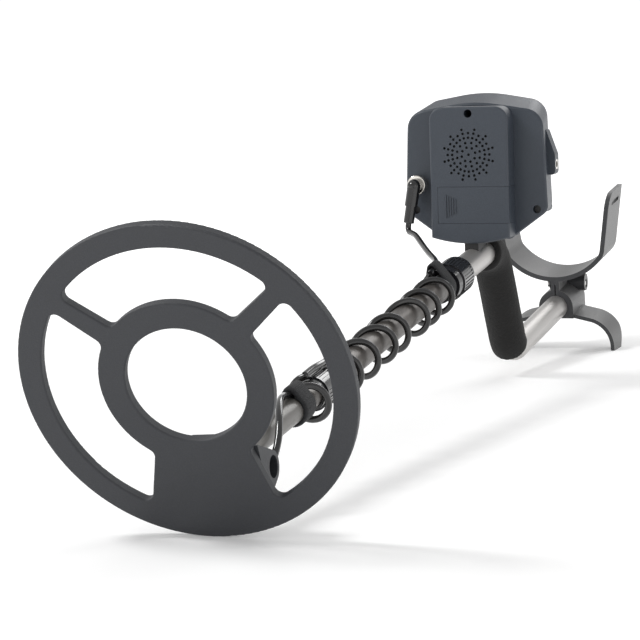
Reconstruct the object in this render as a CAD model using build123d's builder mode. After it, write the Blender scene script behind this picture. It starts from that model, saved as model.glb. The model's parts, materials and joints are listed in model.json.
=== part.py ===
"""Hand-held metal detector on an S-shaped pole, standing at rest on the floor.

The search coil stands on its rim with its underside facing -Y, the pole climbs gently
towards +Y, the control box sits on the front tube, and the arm cuff and its two-legged
stand hold up the rear tube. The coil is centred on X = 0, +Z is up, the floor is Z = 0 and
the origin is under the middle of the whole object. Sizes are millimetres.
"""
import os
from math import cos, pi, radians, sin, sqrt, tan

from build123d import *

os.makedirs("parts", exist_ok=True)

# ------------------------------------------------------------------ driving dimensions
# The pole: reach is measured along the front tube, from the front corner to the coil
rod_rise = 6.87  # slope of the front and rear tubes, degrees
handle_drop = 58.7  # slope of the handle below level, degrees
handle_length = 135.7  # front corner to rear corner of the S
bend_radius = 38.0
front_corner_y = 258.35
tube_radius = 12.7
tube_wall = 1.1
mid_radius = 11.5
mid_wall = 1.0
stem_radius = 10.4
stem_wall = 1.5
slide_gap = 0.1  # radial gap between telescoping tubes
s_tube_front = 150.0  # reach of the S-tube's front end
mid_rear = 78.0
mid_front = 545.0
stem_rear = 430.0
stem_front = 738.0
hinge_reach = 764.0
rear_reach = 272.0  # rear corner to the end of the rear tube
grip_radius = 19.0
grip_front = 29.0
grip_bend = 24.0  # how far the grip follows the rear bend, degrees
collar_radius = 18.1
lower_collar_radius = 14.6
collar_length = 45.0
lower_collar_length = 35.0
strap_width = 25.0
upper_strap_width = 20.0
strap_thick = 1.6
lower_strap_reach = 599.0
upper_cable_spot = (-4.8, 20.4)  # cable in the upper strap: side and lift from the tube's axis

# The search coil
coil_radius = 127.0
coil_lower = 5.0
coil_upper = 3.5
coil_edge = 1.5
coil_hole = 45.5
hub_radius = 65.9
ring_inner = 108.8
window_fillet = 6.0
spoke_angle = 50.5
spoke_outer_width = 12.4
spoke_inner_width = 17.1
web_hub_half = 34.0
web_ring_half = 53.5
winding_depth = 4.4
winding_margin = 4.0  # shell wall beside each buried winding
hinge_drop = 85.0  # coil centre to the hinge, along the coil
hinge_stand = 28.0  # hinge behind the coil's underside
coil_lean = 14.56  # coil from square to the pole, degrees
stem_turn = 3.06  # lower stem turned in its collar, degrees
pad_width = 80.0
pad_length = 60.0
pad_height = 6.0
ear_gap = 25.2
ear_radius = 12.0
eye_width = 20.0
bolt_radius = 4.0

# The control box
box_width = 145.0
box_height = 136.0
box_taper = 6.0  # how much each side narrows towards the display
box_belly = 12.0  # how much the bottom rises towards the display, over the grip
box_crown = 9.0  # how much the top rises towards the display
box_clear = 10.2  # box bottom above the front corner
panel_ahead = 71.7  # panel face ahead of the front corner, along Y
panel_width = 79.0
panel_depth = 23.6
rear_depth = 17.4
front_depth = 27.0
wall = 2.4
speaker_height = 87.0  # grille centre above the box bottom
speaker_radius = 26.0
door_low = 20.0
door_high = 55.5
door_left = 32.0
socket_side = 57.4
socket_height = 57.0
socket_radius = 7.0
plug_ring_radius = 9.5
boot_radius = 5.8
jack_radius = 3.2
window_width = 86.0
window_height = 48.0
button_radius = 6.0
button_travel = 1.5
knob_radius = 11.0
knob_depth = 14.0
knob_side = 36.0
shaft_radius = 3.0
bracket_screw_radius = 2.0
cell_radius = 7.2
cell_length = 50.5

# The arm cuff and stand
cuff_start = 203.0  # rear corner to the cuff's front face
cuff_depth = 64.0
cuff_thick = 5.0
cuff_inner_low = 34.0  # inside of the cradle above the tube's axis
cuff_inner_half = 51.5
cuff_tip_half = 61.0
cuff_tip_height = 126.0
cuff_bend_height = 60.0
saddle_radius = 19.2
neck_half = 4.6
clamp_height = 16.4
clamp_back = 48.0
clamp_bolt_radius = 2.5
leg_half_span = 62.0
leg_thick = 4.0
leg_depth = 47.0
leg_tip_depth = 30.0

# The cable
cable_radius = 2.9
winding_radius = 21.0
winding_rear = 200.0
winding_front = 518.0
stem_turns_rear = 567.0

clearance = 0.3  # between pieces that move past each other
seat_gap = 0.05  # between a shaft and the hole it turns in

# ------------------------------------------------------------------ frames
rise = radians(rod_rise)
drop = radians(handle_drop)
lean = radians(coil_lean)
turn_at_bends = radians(rod_rise + handle_drop)
across = Vector(1, 0, 0)
back_way = Vector(0, cos(rise), sin(rise))
front_way = back_way * -1
handle_way = Vector(0, cos(drop), -sin(drop))



def square_to_rod(origin, turn=0.0):
    """Plane square to the front tube, facing the coil, turned about it; its Y is the tube's up."""
    angle = radians(turn)
    level = Vector(cos(angle), -sin(rise) * sin(angle), cos(rise) * sin(angle))
    return Plane(origin, x_dir=level, z_dir=front_way)


# The coil hangs off the hinge, and the pole is as high as puts its rim on the floor.
stem_axes = square_to_rod((0, 0, 0), stem_turn)
coil_up = Vector(0, cos(lean), sin(lean))
coil_out = Vector(0, -sin(lean), cos(lean))
hinge_to_coil = stem_axes.from_local_coords(coil_up * hinge_drop + coil_out * hinge_stand)
coil_normal = stem_axes.from_local_coords(coil_out)
rim_drop = (coil_radius - coil_edge) * sqrt(1 - coil_normal.Z**2) + coil_edge * (1 + coil_normal.Z)
front_corner_z = hinge_reach * sin(rise) + rim_drop - hinge_to_coil.Z
pole_x = -hinge_to_coil.X
front_corner = Vector(pole_x, front_corner_y, front_corner_z)
rear_corner = front_corner + handle_way * handle_length
hinge = front_corner + front_way * hinge_reach
coil = Plane(hinge + hinge_to_coil, x_dir=stem_axes.x_dir, z_dir=coil_normal)

# Levels and faces of the control box
box_low = front_corner_z + box_clear
box_top = box_low + box_height
panel_y = front_corner_y - panel_ahead
base_y = panel_y + panel_depth
seam_y = base_y + rear_depth
front_y = seam_y + front_depth
panel_half = panel_width / 2

bracket_spots = ((pole_x, base_y - 14), (pole_x, base_y + 6))


def rod(reach, turn=0.0):
    """Plane square to the front tube at a reach."""
    return square_to_rod(front_corner + front_way * reach, turn)


def on_rod(reach, lift, side=0.0, turn=0.0):
    """Point beside the front tube's axis."""
    return rod(reach, turn).from_local_coords(Vector(side, lift, 0))


def rear(reach):
    """Plane square to the rear tube, facing the coil, reach behind the rear corner."""
    return Plane(rear_corner + back_way * reach, x_dir=across, z_dir=front_way)


def cuff_side(side):
    """Plane along the rear tube facing +X: local X runs back from the cuff's front face."""
    return Plane(rear(cuff_start).origin + across * side, x_dir=back_way, z_dir=across)


def coil_side(side):
    """Plane across the coil facing its +X: local X is up the coil, local Y out of its underside."""
    origin = coil.from_local_coords(Vector(side, 0, 0))
    return Plane(origin, x_dir=coil.y_dir, z_dir=coil.x_dir)


def facing(y):
    """Upright plane facing -Y, with the pole at its X = 0 and the floor at its Y = 0."""
    return Plane((pole_x, y, 0), x_dir=across, z_dir=(0, -1, 0))


def save(made, name):
    made.label = name
    export_step(made, f"parts/{name}.step")


# ------------------------------------------------------------------ the pole
def ring_between(start, end, outer, inner, turn=0.0):
    """Plain sleeve on the front tube's axis between two reaches."""
    with BuildPart() as sleeve:
        with BuildSketch(rod(start, turn)):
            Circle(outer)
            Circle(inner, mode=Mode.SUBTRACT)
        extrude(amount=end - start)
    return sleeve.part


tube_end = rear(rear_reach).origin
s_front = rod(s_tube_front).origin

with BuildPart() as s_tube:
    with BuildLine():
        FilletPolyline(s_front, front_corner, rear_corner, tube_end, radius=bend_radius)
    with BuildSketch(Plane(s_front, x_dir=across, z_dir=back_way)):
        Circle(tube_radius)
        Circle(tube_radius - tube_wall, mode=Mode.SUBTRACT)
    sweep()
    with BuildSketch(Plane.XY.offset(front_corner_z)):
        with Locations(*bracket_spots):
            Circle(bracket_screw_radius)
    extrude(amount=tube_radius * 2, mode=Mode.SUBTRACT)
save(s_tube.part, "s_tube")

grip_start = rod(grip_front).origin
bend_tangent = bend_radius * tan(turn_at_bends / 2)
bend_start = rear_corner - handle_way * bend_tangent
bend_side = Vector(0, sin(drop), cos(drop))
grip_turn = radians(grip_bend)
grip_end = (
    bend_start
    + handle_way * bend_radius * sin(grip_turn)
    + bend_side * bend_radius * (1 - cos(grip_turn))
)
grip_end_way = handle_way * cos(grip_turn) + bend_side * sin(grip_turn)

with BuildPart() as foam_grip:
    with BuildLine():
        FilletPolyline(
            grip_start,
            front_corner,
            rear_corner,
            rear_corner + back_way * (bend_tangent + 2),
            radius=bend_radius,
        )
    with BuildSketch(Plane(grip_start, x_dir=across, z_dir=back_way)):
        Circle(grip_radius)
        Circle(tube_radius, mode=Mode.SUBTRACT)
    sweep()
    split(bisect_by=Plane(grip_end, x_dir=across, z_dir=grip_end_way), keep=Keep.BOTTOM)
    rims = foam_grip.edges().filter_by(GeomType.CIRCLE).filter_by(lambda e: e.radius > tube_radius + 1)
    ends = [e for e in rims if e.is_closed]
    fillet(ends, 3.5)
save(foam_grip.part, "foam_grip")

plug_depth = 18.0
with BuildPart() as tube_end_cap:
    with BuildSketch(rear(rear_reach)):
        Circle(tube_radius - tube_wall)
    extrude(amount=plug_depth)
    with BuildSketch(rear(rear_reach)):
        Circle(tube_radius)
    extrude(amount=-3)
    fillet(tube_end_cap.faces().sort_by(Axis.Y)[-1].edges(), 1.5)
save(tube_end_cap.part, "tube_end_cap")

mid_tube = ring_between(mid_rear, mid_front, mid_radius, mid_radius - mid_wall)
save(mid_tube, "mid_tube")
lower_stem = ring_between(stem_rear, stem_front, stem_radius, stem_radius - stem_wall, stem_turn)
save(lower_stem, "lower_stem")


def collet(end, tube, held):
    """Split clamping sleeve glued over a tube's end: its fingers close on the tube it holds."""
    body_length = 24.0
    finger_length = 14.0
    skin = 1.7
    with BuildPart() as sleeve:
        with BuildSketch(rod(end - body_length)):
            Circle(tube + skin)
            Circle(tube, mode=Mode.SUBTRACT)
        extrude(amount=body_length)
        with BuildSketch(rod(end)):
            Circle(held + skin)
            Circle(held + slide_gap, mode=Mode.SUBTRACT)
        extrude(amount=finger_length)
        with BuildSketch(rod(end)):
            Circle(tube + skin)
            Circle(held + slide_gap, mode=Mode.SUBTRACT)
        extrude(amount=1.5)
        with BuildSketch(rod(end + 3)):
            with PolarLocations(held + 1, 6):
                Rectangle(4, 1.2)
        extrude(amount=finger_length, mode=Mode.SUBTRACT)
    return sleeve.part


def lock_collar(start, length, outer, tube, held, ribs, flange):
    """Ribbed collar that turns on a collet: ribs behind, a smooth flange towards the coil."""
    skin = 1.7
    grip_part = length - flange
    with BuildPart() as made:
        with BuildSketch(rod(start)):
            Circle(outer)
        extrude(amount=grip_part)
        with BuildSketch(rod(start + grip_part)):
            Circle(outer - 1.2)
        extrude(amount=flange, taper=6)
        with BuildSketch(rod(start + 3)):
            with PolarLocations(outer, ribs):
                Rectangle(1.6, 1.5)
        extrude(amount=grip_part - 5, mode=Mode.SUBTRACT)
        with BuildSketch(rod(start)):
            Circle(tube + skin + seat_gap)
        extrude(amount=length - 13, mode=Mode.SUBTRACT)
        with BuildSketch(rod(start)):
            Circle(held + skin + clearance)
        extrude(amount=length - 2, mode=Mode.SUBTRACT)
        with BuildSketch(rod(start)):
            Circle(held + clearance)
        extrude(amount=length, mode=Mode.SUBTRACT)
    return made.part


upper_collet = collet(s_tube_front, tube_radius, mid_radius)
save(upper_collet, "upper_collet")
lower_collet = collet(mid_front, mid_radius, stem_radius)
save(lower_collet, "lower_collet")
upper_collar_start = s_tube_front - 25.0
upper_collar = lock_collar(
    upper_collar_start, collar_length, collar_radius, tube_radius, mid_radius, 36, 11
)
save(upper_collar, "upper_collar")
lower_collar_start = mid_front - 15.0
lower_collar = lock_collar(
    lower_collar_start, lower_collar_length, lower_collar_radius, mid_radius, stem_radius, 28, 6
)
save(lower_collar, "lower_collar")


def strap(start, width, tube, spot, turn=0.0):
    """Hook-and-loop band round a tube and the cable beside it, with its overlapped end."""
    with BuildPart() as band:
        with BuildSketch(rod(start, turn)):
            Circle(tube + strap_thick)
            with Locations(spot):
                Circle(cable_radius + strap_thick)
            make_hull()
            Circle(tube, mode=Mode.SUBTRACT)
            with Locations(spot):
                Circle(cable_radius, mode=Mode.SUBTRACT)
        extrude(amount=width)
        with BuildSketch(rod(start, turn)):
            with Locations((tube + strap_thick + 0.4, -tube * 0.2)):
                Rectangle(1.4, tube * 1.2)
        extrude(amount=width)
    return band.part


upper_strap_start = upper_collar_start + collar_length + 1.5
lower_strap_start = lower_strap_reach - strap_width / 2
lower_cable_lift = stem_radius + cable_radius + seat_gap

with BuildPart() as stem_end_fitting:
    with BuildSketch(rod(stem_front - 20, stem_turn)):
        Circle(stem_radius - stem_wall)
    extrude(amount=20)
    with BuildSketch(rod(stem_front, stem_turn)):
        Circle(stem_radius)
    extrude(amount=6)
    eye = Plane(hinge, x_dir=front_way, z_dir=stem_axes.x_dir)
    with BuildSketch(eye.offset(-eye_width / 2)):
        Circle(stem_radius)
        with Locations((-(hinge_reach - stem_front) / 2 + 2, 0)):
            Rectangle(hinge_reach - stem_front - 4, 2 * stem_radius)
        Circle(bolt_radius + seat_gap, mode=Mode.SUBTRACT)
    extrude(amount=eye_width)
save(stem_end_fitting.part, "stem_end_fitting")

# ------------------------------------------------------------------ the search coil
with BuildSketch() as windows:
    Circle(ring_inner)
    Circle(hub_radius, mode=Mode.SUBTRACT)
    for side in (-1, 1):
        Polygon(
            (-spoke_inner_width / 2, coil_hole),
            (-spoke_outer_width / 2, coil_radius),
            (spoke_outer_width / 2, coil_radius),
            (spoke_inner_width / 2, coil_hole),
            rotation=side * spoke_angle,
            align=None,
            mode=Mode.SUBTRACT,
        )
    Polygon(
        (-web_hub_half, -coil_hole),
        (-web_ring_half, -ring_inner - 5),
        (web_ring_half, -ring_inner - 5),
        (web_hub_half, -coil_hole),
        align=None,
        mode=Mode.SUBTRACT,
    )
    fillet(windows.vertices(), window_fillet)

ring_groove = (ring_inner + winding_margin, coil_radius - winding_margin)
hub_groove = (coil_hole + winding_margin, hub_radius - winding_margin)
groove_low = (coil_lower + coil_upper - winding_depth) / 2  # shell left under each groove


def coil_shell(near, thick, outside):
    """Half of the coil's housing, rounded on its outside face, with a groove for each winding."""
    with BuildPart() as shell:
        with BuildSketch(coil.offset(-near)):
            Circle(coil_radius)
            Circle(coil_hole, mode=Mode.SUBTRACT)
            add(windows.sketch, mode=Mode.SUBTRACT)
        extrude(amount=-thick)
        through = Axis(coil.origin, coil.z_dir)
        fillet(shell.faces().sort_by(through)[outside].edges(), coil_edge)
        for inner, outer in (ring_groove, hub_groove):
            with BuildSketch(coil.offset(-groove_low)):
                Circle(outer)
                Circle(inner, mode=Mode.SUBTRACT)
            extrude(amount=-winding_depth, mode=Mode.SUBTRACT)
    return shell.part


def winding(groove):
    """Potted copper winding that fills a groove."""
    with BuildPart() as turns:
        with BuildSketch(coil.offset(-groove_low - seat_gap)):
            Circle(groove[1] - seat_gap)
            Circle(groove[0] + seat_gap, mode=Mode.SUBTRACT)
        extrude(amount=-(winding_depth - 2 * seat_gap))
    return turns.part


save(coil_shell(0, coil_lower, -1), "coil_lower_shell")

back_level = coil_lower + coil_upper
pad_level = back_level + pad_height
pad_middle = -hinge_drop + 6.5
gland_drop = -hinge_drop - 21.0

with BuildPart() as coil_upper_shell:
    add(coil_shell(coil_lower, coil_upper, 0))
    with BuildSketch(coil.offset(-back_level)):
        with Locations((0, pad_middle)):
            RectangleRounded(ear_gap + 2, pad_length, 4)
    extrude(amount=-pad_height)
    for side in (-1, 1):
        ear_outer = pad_width / 2
        with BuildSketch(coil_side(side * ear_gap / 2)):
            with Locations((-hinge_drop, -hinge_stand)):
                Circle(ear_radius)
            with Locations((pad_middle, -back_level - 0.5)):
                Rectangle(pad_length - 14, 1)
            make_hull()
        extrude(amount=side * (ear_outer - ear_gap / 2))
        with BuildSketch(coil_side(side * (ear_outer - 14))):
            with Locations((-hinge_drop, -hinge_stand)):
                Circle(ear_radius - 3.5)
        extrude(amount=side * 14, mode=Mode.SUBTRACT)
    with BuildSketch(coil_side(-pad_width / 2)):
        with Locations((-hinge_drop, -hinge_stand)):
            Circle(bolt_radius)
    extrude(amount=pad_width, mode=Mode.SUBTRACT)
    with BuildSketch(coil.offset(-pad_level)):
        with Locations((0, gland_drop)):
            Circle(cable_radius + 2)
    extrude(amount=pad_height + coil_upper - 1, mode=Mode.SUBTRACT)
save(coil_upper_shell.part, "coil_upper_shell")

save(winding(ring_groove), "transmit_winding")
save(winding(hub_groove), "receive_winding")

gland_length = 16.0
with BuildPart() as coil_gland:
    with BuildSketch(coil.offset(-back_level + 1)):
        with Locations((0, gland_drop)):
            Circle(cable_radius + 2)
    extrude(amount=-(pad_height + 1))
    with BuildSketch(coil.offset(-pad_level)):
        with Locations((0, gland_drop)):
            Circle(cable_radius + 3.2)
    extrude(amount=-3)
    with BuildSketch(coil.offset(-pad_level - 3)):
        with Locations((0, gland_drop)):
            Circle(cable_radius + 2.2)
    extrude(amount=-(gland_length - 3), taper=5)
    with BuildSketch(coil.offset(-pad_level - gland_length)):
        with Locations((0, gland_drop)):
            Circle(cable_radius)
    extrude(amount=gland_length, mode=Mode.SUBTRACT)
save(coil_gland.part, "coil_gland")

bolt_plane = Plane(hinge, x_dir=front_way, z_dir=stem_axes.x_dir)
head_out = pad_width / 2 - 14
with BuildPart() as hinge_bolt:
    with BuildSketch(bolt_plane.offset(-head_out)):
        Circle(bolt_radius)
    extrude(amount=2 * head_out + 9)
    with BuildSketch(bolt_plane.offset(-head_out)):
        RegularPolygon(7.2, 6)
    extrude(amount=-5)
save(hinge_bolt.part, "hinge_bolt")

with BuildPart() as hinge_nut:
    with BuildSketch(bolt_plane.offset(head_out)):
        RegularPolygon(7.2, 6)
        Circle(bolt_radius, mode=Mode.SUBTRACT)
    extrude(amount=6.5)
save(hinge_nut.part, "hinge_nut")

with BuildPart() as hinge_washers:
    for side in (-1, 1):
        with BuildSketch(bolt_plane.offset(side * (eye_width / 2 + clearance))):
            Circle(9)
            Circle(bolt_radius, mode=Mode.SUBTRACT)
        extrude(amount=side * (ear_gap / 2 - eye_width / 2 - clearance))
save(hinge_washers.part, "hinge_washers")

# ------------------------------------------------------------------ the control box


def box_outline(narrower, crown, belly):
    """Outline of the box: crowned top, rounded shoulders and slanted lower corners."""
    half = box_width / 2 - narrower
    FilletPolyline(
        (-half + 4, box_top - 9 + crown),
        (0, box_top + 2 + crown),
        (half - 4, box_top - 9 + crown),
        (half, box_low + 30),
        (half - 38, box_low + 2 + belly),
        (-half + 38, box_low + 2 + belly),
        (-half, box_low + 30),
        radius=(19, 140, 19, 10, 8, 8, 10),
        close=True,
    )


def box_form(skin):
    """Tapered block of the box, or of the room inside it when skin is its wall."""
    with BuildPart() as form:
        for y, narrower, crown, belly in (
            (base_y + skin, 0, 0, 0),
            (front_y - skin, box_taper, box_crown, box_belly),
        ):
            with BuildSketch(facing(y)):
                with BuildLine():
                    box_outline(narrower, crown, belly)
                make_face()
                if skin:
                    offset(amount=-skin)
        loft()
        if not skin:
            ends = form.faces().sort_by(Axis.Y)
            chamfer(ends[0].edges() + ends[-1].edges(), 1.8)
    return form.part


def panel_form(skin):
    """Raised rear panel, or the room inside it."""
    with BuildPart() as form:
        with BuildSketch(facing(seam_y)):
            with BuildLine():
                Line((-panel_half, box_low + 6), (-panel_half, panel_top))
                Line((-panel_half, panel_top), (panel_half, panel_top))
                Line((panel_half, panel_top), (panel_half, box_low + 6))
                ThreePointArc((panel_half, box_low + 6), (0, box_low), (-panel_half, box_low + 6))
            made = make_face()
            fillet(made.vertices().group_by(Axis.Y)[-1], 13)
            if skin:
                offset(amount=-skin)
        extrude(amount=seam_y - panel_y - skin)
        if not skin:
            fillet(form.faces().sort_by(Axis.Y)[0].edges(), 2.2)
    return form.part


panel_top = box_top - 2.6
outer_form = box_form(0)
inner_form = box_form(wall)
panel_outer = panel_form(0)
panel_inner = panel_form(wall)
screw_spots = ((-61.4, box_low + 31.6), (61.4, box_low + 31.6))
top_screw_z = box_low + 126.9
post_radius = 5.5
screw_recess = 7.0

speaker_z = box_low + speaker_height
grille_rings = ((7.0, 8), (11.7, 12), (16.5, 24), (21.0, 24), (25.0, 12))
grille_hole = 1.3

door_bottom = box_low + door_low
door_top = box_low + door_high
door_gap = 0.25
door_middle = (door_bottom + door_top) / 2
socket_z = box_low + socket_height

with BuildPart() as rear_housing:
    add(outer_form)
    add(panel_outer)
    split(bisect_by=facing(seam_y), keep=Keep.TOP)
    add(inner_form, mode=Mode.SUBTRACT)
    add(panel_inner, mode=Mode.SUBTRACT)
    # screw posts with deep recesses, and the top screw through the panel
    with BuildSketch(facing(seam_y)):
        with Locations(*screw_spots):
            Circle(post_radius)
    extrude(amount=rear_depth - wall / 2)
    with BuildSketch(facing(seam_y)):
        with Locations((0, top_screw_z)):
            Circle(post_radius)
    extrude(amount=seam_y - panel_y - wall / 2)
    with BuildSketch(facing(base_y)):
        with Locations(*screw_spots):
            Circle(4)
    extrude(amount=-screw_recess, mode=Mode.SUBTRACT)
    with BuildSketch(facing(panel_y)):
        with Locations((0, top_screw_z)):
            Circle(4)
    extrude(amount=-(panel_depth + screw_recess), mode=Mode.SUBTRACT)
    with BuildSketch(facing(seam_y)):
        with Locations((0, top_screw_z), *screw_spots):
            Circle(1.6)
    extrude(amount=rear_depth, mode=Mode.SUBTRACT)
    # speaker grille
    with BuildSketch(facing(panel_y + wall)):
        with Locations((0, speaker_z)):
            Circle(grille_hole)
            for ring_radius, count in grille_rings:
                with PolarLocations(ring_radius, count, start_angle=15):
                    Circle(grille_hole)
    extrude(amount=wall, mode=Mode.SUBTRACT)
    # battery door's opening, open towards +X, and the bay's floor and ceiling
    with BuildSketch(facing(panel_y + wall)):
        with Locations(((panel_half - door_left) / 2, (door_bottom + door_top) / 2)):
            Rectangle(panel_half + door_left + 2 * door_gap, door_top - door_bottom + 2 * door_gap)
    extrude(amount=wall + 1, mode=Mode.SUBTRACT)
    with BuildSketch(facing(base_y - 1)):
        with Locations((panel_half, (door_bottom + door_top) / 2)):
            Rectangle(2 * wall + 0.2, door_top - door_bottom + 2 * door_gap)
    extrude(amount=panel_depth - 1, mode=Mode.SUBTRACT)
    for level in (door_bottom - 4, door_top + 4):
        with BuildSketch(facing(seam_y)):
            with Locations((0, level)):
                Rectangle(panel_width - 2 * wall + 0.2, 1.6)
        extrude(amount=seam_y - panel_y - wall - 3.2)
    # connector hole and the bracket's screw holes
    with BuildSketch(facing(base_y + wall)):
        with Locations((-socket_side, socket_z)):
            Circle(socket_radius)
    extrude(amount=wall + 1, mode=Mode.SUBTRACT)
    with BuildSketch(Plane.XY.offset(box_low - 5)):
        with Locations(*bracket_spots):
            Circle(bracket_screw_radius)
    extrude(amount=5 + 2 * wall, mode=Mode.SUBTRACT)
save(rear_housing.part, "rear_housing")

bump_low = box_low + 64
bump_top = box_low + 108
bump_out = 76.0
jack_z = box_low + 74
jack_y = seam_y + 8.0
jack_barrel = 5.0
button_spots = [(offset_x, box_low + 57) for offset_x in (-22, 0, 22)]
knob_spots = [(side * (knob_side + 4), box_low + 40) for side in (-1, 1)]
window_middle = box_low + 94
board_back = front_y - 13.0
board_thick = 1.6
post_bore = 1.55

with BuildPart() as front_housing:
    add(outer_form)
    split(bisect_by=facing(seam_y), keep=Keep.BOTTOM)
    with BuildSketch(facing(jack_y - 7)):
        with BuildLine():
            Polyline(
                (box_width / 2 - 10, bump_low),
                (bump_out, bump_low),
                (bump_out, bump_low + 20),
                (box_width / 2 - 5, bump_top),
                (box_width / 2 - 10, bump_top),
                close=True,
            )
        bump = make_face()
        fillet(bump.vertices().sort_by(Axis.X)[-2:], 4)
    extrude(amount=-14)
    add(inner_form, mode=Mode.SUBTRACT)
    with BuildSketch(facing(seam_y)):
        with Locations((0, top_screw_z), *screw_spots):
            Circle(post_radius - 0.5)
    extrude(amount=-(front_depth - wall / 2))
    with BuildSketch(facing(seam_y)):
        with Locations((0, top_screw_z), *screw_spots):
            Circle(post_bore)
    extrude(amount=-14, mode=Mode.SUBTRACT)
    with BuildSketch(facing(front_y)):
        with Locations((0, window_middle)):
            RectangleRounded(window_width, window_height, 5)
    extrude(amount=1.4, mode=Mode.SUBTRACT)
    with BuildSketch(facing(front_y)):
        with Locations((0, window_middle)):
            RectangleRounded(window_width - 6, window_height - 6, 3)
        with Locations(*button_spots):
            Circle(button_radius + clearance)
        with Locations(*knob_spots):
            Circle(shaft_radius + 0.5)
    extrude(amount=wall + 1, mode=Mode.SUBTRACT)
    with BuildSketch(Plane.YZ.offset(pole_x + box_width / 2 - 20)):
        with Locations((jack_y, jack_z)):
            Circle(jack_barrel)
    extrude(amount=30, mode=Mode.SUBTRACT)
save(front_housing.part, "front_housing")

with BuildPart() as display_window:
    with BuildSketch(facing(front_y)):
        with Locations((0, window_middle)):
            RectangleRounded(window_width - 2 * seat_gap, window_height - 2 * seat_gap, 5)
    extrude(amount=1.4)
save(display_window.part, "display_window")

with BuildPart() as circuit_board:
    with BuildSketch(facing(board_back)):
        with Locations((0, box_low + 72.5)):
            Rectangle(108, 93)
    extrude(amount=-board_thick)
save(circuit_board.part, "circuit_board")

board_front = board_back + board_thick
with BuildPart() as display_module:
    with BuildSketch(facing(board_front)):
        with Locations((0, window_middle)):
            Rectangle(window_width - 4, window_height - 4)
    extrude(amount=-7)
save(display_module.part, "display_module")

button_stem_low = front_y - wall - 1.4
with BuildPart() as button_switches:
    with BuildSketch(facing(board_front)):
        with Locations(*button_spots):
            Rectangle(6, 6)
    extrude(amount=-(button_stem_low - button_travel - clearance - board_front))
save(button_switches.part, "button_switches")


def push_button(spot):
    """Button cap held in the housing by the flange behind it."""
    with BuildPart() as cap:
        with BuildSketch(facing(button_stem_low)):
            with Locations(spot):
                Circle(button_radius + 1.4)
        extrude(amount=-1.1)
        with BuildSketch(facing(button_stem_low)):
            with Locations(spot):
                Circle(button_radius)
        extrude(amount=-(1.4 + wall + 2.6))
        fillet(cap.faces().sort_by(Axis.Y)[-1].edges(), 1.0)
    return cap.part


for name, spot in zip(("power_button", "mode_button", "target_button"), button_spots):
    save(push_button(spot), name)

pot_radius = 8.0
with BuildPart() as potentiometers:
    with BuildSketch(facing(board_front)):
        with Locations(*knob_spots):
            Circle(pot_radius)
    extrude(amount=-6.5)
    with BuildSketch(facing(board_front)):
        with Locations(*knob_spots):
            Circle(shaft_radius)
    extrude(amount=-(front_y + knob_depth - 3 - board_front))
save(potentiometers.part, "potentiometers")


def knob(spot):
    """Fluted knob on a potentiometer's shaft."""
    with BuildPart() as made:
        with BuildSketch(facing(front_y + 0.5)):
            with Locations(spot):
                Circle(knob_radius)
        extrude(amount=-knob_depth, taper=3)
        fillet(made.faces().sort_by(Axis.Y)[-1].edges(), 1.2)
        with BuildSketch(facing(front_y + 3.5)):
            with Locations(spot):
                with PolarLocations(knob_radius, 18):
                    Rectangle(1.6, 1.6)
        extrude(amount=-knob_depth, mode=Mode.SUBTRACT)
        with BuildSketch(facing(front_y + 0.5)):
            with Locations(spot):
                Circle(shaft_radius + seat_gap)
        extrude(amount=-(knob_depth - 3), mode=Mode.SUBTRACT)
    return made.part


for name, spot in zip(("sensitivity_knob", "discrimination_knob"), knob_spots):
    save(knob(spot), name)

with BuildPart() as headphone_jack:
    with BuildSketch(Plane.YZ.offset(pole_x + bump_out)):
        with Locations((jack_y, jack_z)):
            Circle(jack_barrel)
    extrude(amount=-34)
    with BuildSketch(Plane.YZ.offset(pole_x + bump_out)):
        with Locations((jack_y, jack_z)):
            Circle(jack_radius)
    extrude(amount=-31, mode=Mode.SUBTRACT)
save(headphone_jack.part, "headphone_jack")

with BuildPart() as speaker:
    with BuildSketch(facing(panel_y + wall + 3.2)):
        with Locations((0, speaker_z)):
            Circle(speaker_radius)
    extrude(amount=3)
    with BuildSketch(facing(panel_y + wall + 3.2)):
        with Locations((0, speaker_z)):
            Circle(speaker_radius - 2)
    extrude(amount=-8, taper=45)
    with BuildSketch(facing(panel_y + wall + 9)):
        with Locations((0, speaker_z)):
            Circle(14)
    extrude(amount=-8)
save(speaker.part, "speaker")

with BuildPart() as housing_screws:
    for level, spots in ((base_y + screw_recess, screw_spots), (base_y + screw_recess, [(0, top_screw_z)])):
        with BuildSketch(facing(level)):
            with Locations(*spots):
                Circle(3.6)
        extrude(amount=2.4)
        with BuildSketch(facing(level)):
            with Locations(*spots):
                Circle(post_bore)
        extrude(amount=-(rear_depth - screw_recess + 12))
save(housing_screws.part, "housing_screws")

# battery door, tray and cells
with BuildPart() as battery_door:
    with BuildSketch(facing(panel_y + wall)):
        with Locations(((panel_half - door_left) / 2, door_middle)):
            Rectangle(panel_half + door_left, door_top - door_bottom)
    extrude(amount=wall)
    with BuildSketch(facing(base_y - 1 - door_gap)):
        with Locations((panel_half - wall / 2, door_middle)):
            Rectangle(wall, door_top - door_bottom)
    extrude(amount=panel_depth - 1 - door_gap)
    with BuildSketch(facing(panel_y + wall + door_gap + 1.5)):
        with Locations((-door_left + 2, door_middle)):
            Rectangle(10, door_top - door_bottom - 6)
    extrude(amount=1.5 + door_gap)
    with BuildSketch(facing(panel_y + wall + door_gap)):
        with Locations((-door_left - 1.4, door_middle)):
            Rectangle(3.2, door_top - door_bottom - 5)
    extrude(amount=wall, mode=Mode.SUBTRACT)
    rib_height = 23.0
    for rib in range(5):
        with BuildSketch(facing(panel_y)):
            with Locations((-24 + 2.4 * rib, door_middle - 1)):
                Rectangle(1.1, rib_height - 2.2 * rib)
        extrude(amount=0.8)
save(battery_door.part, "battery_door")

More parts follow.
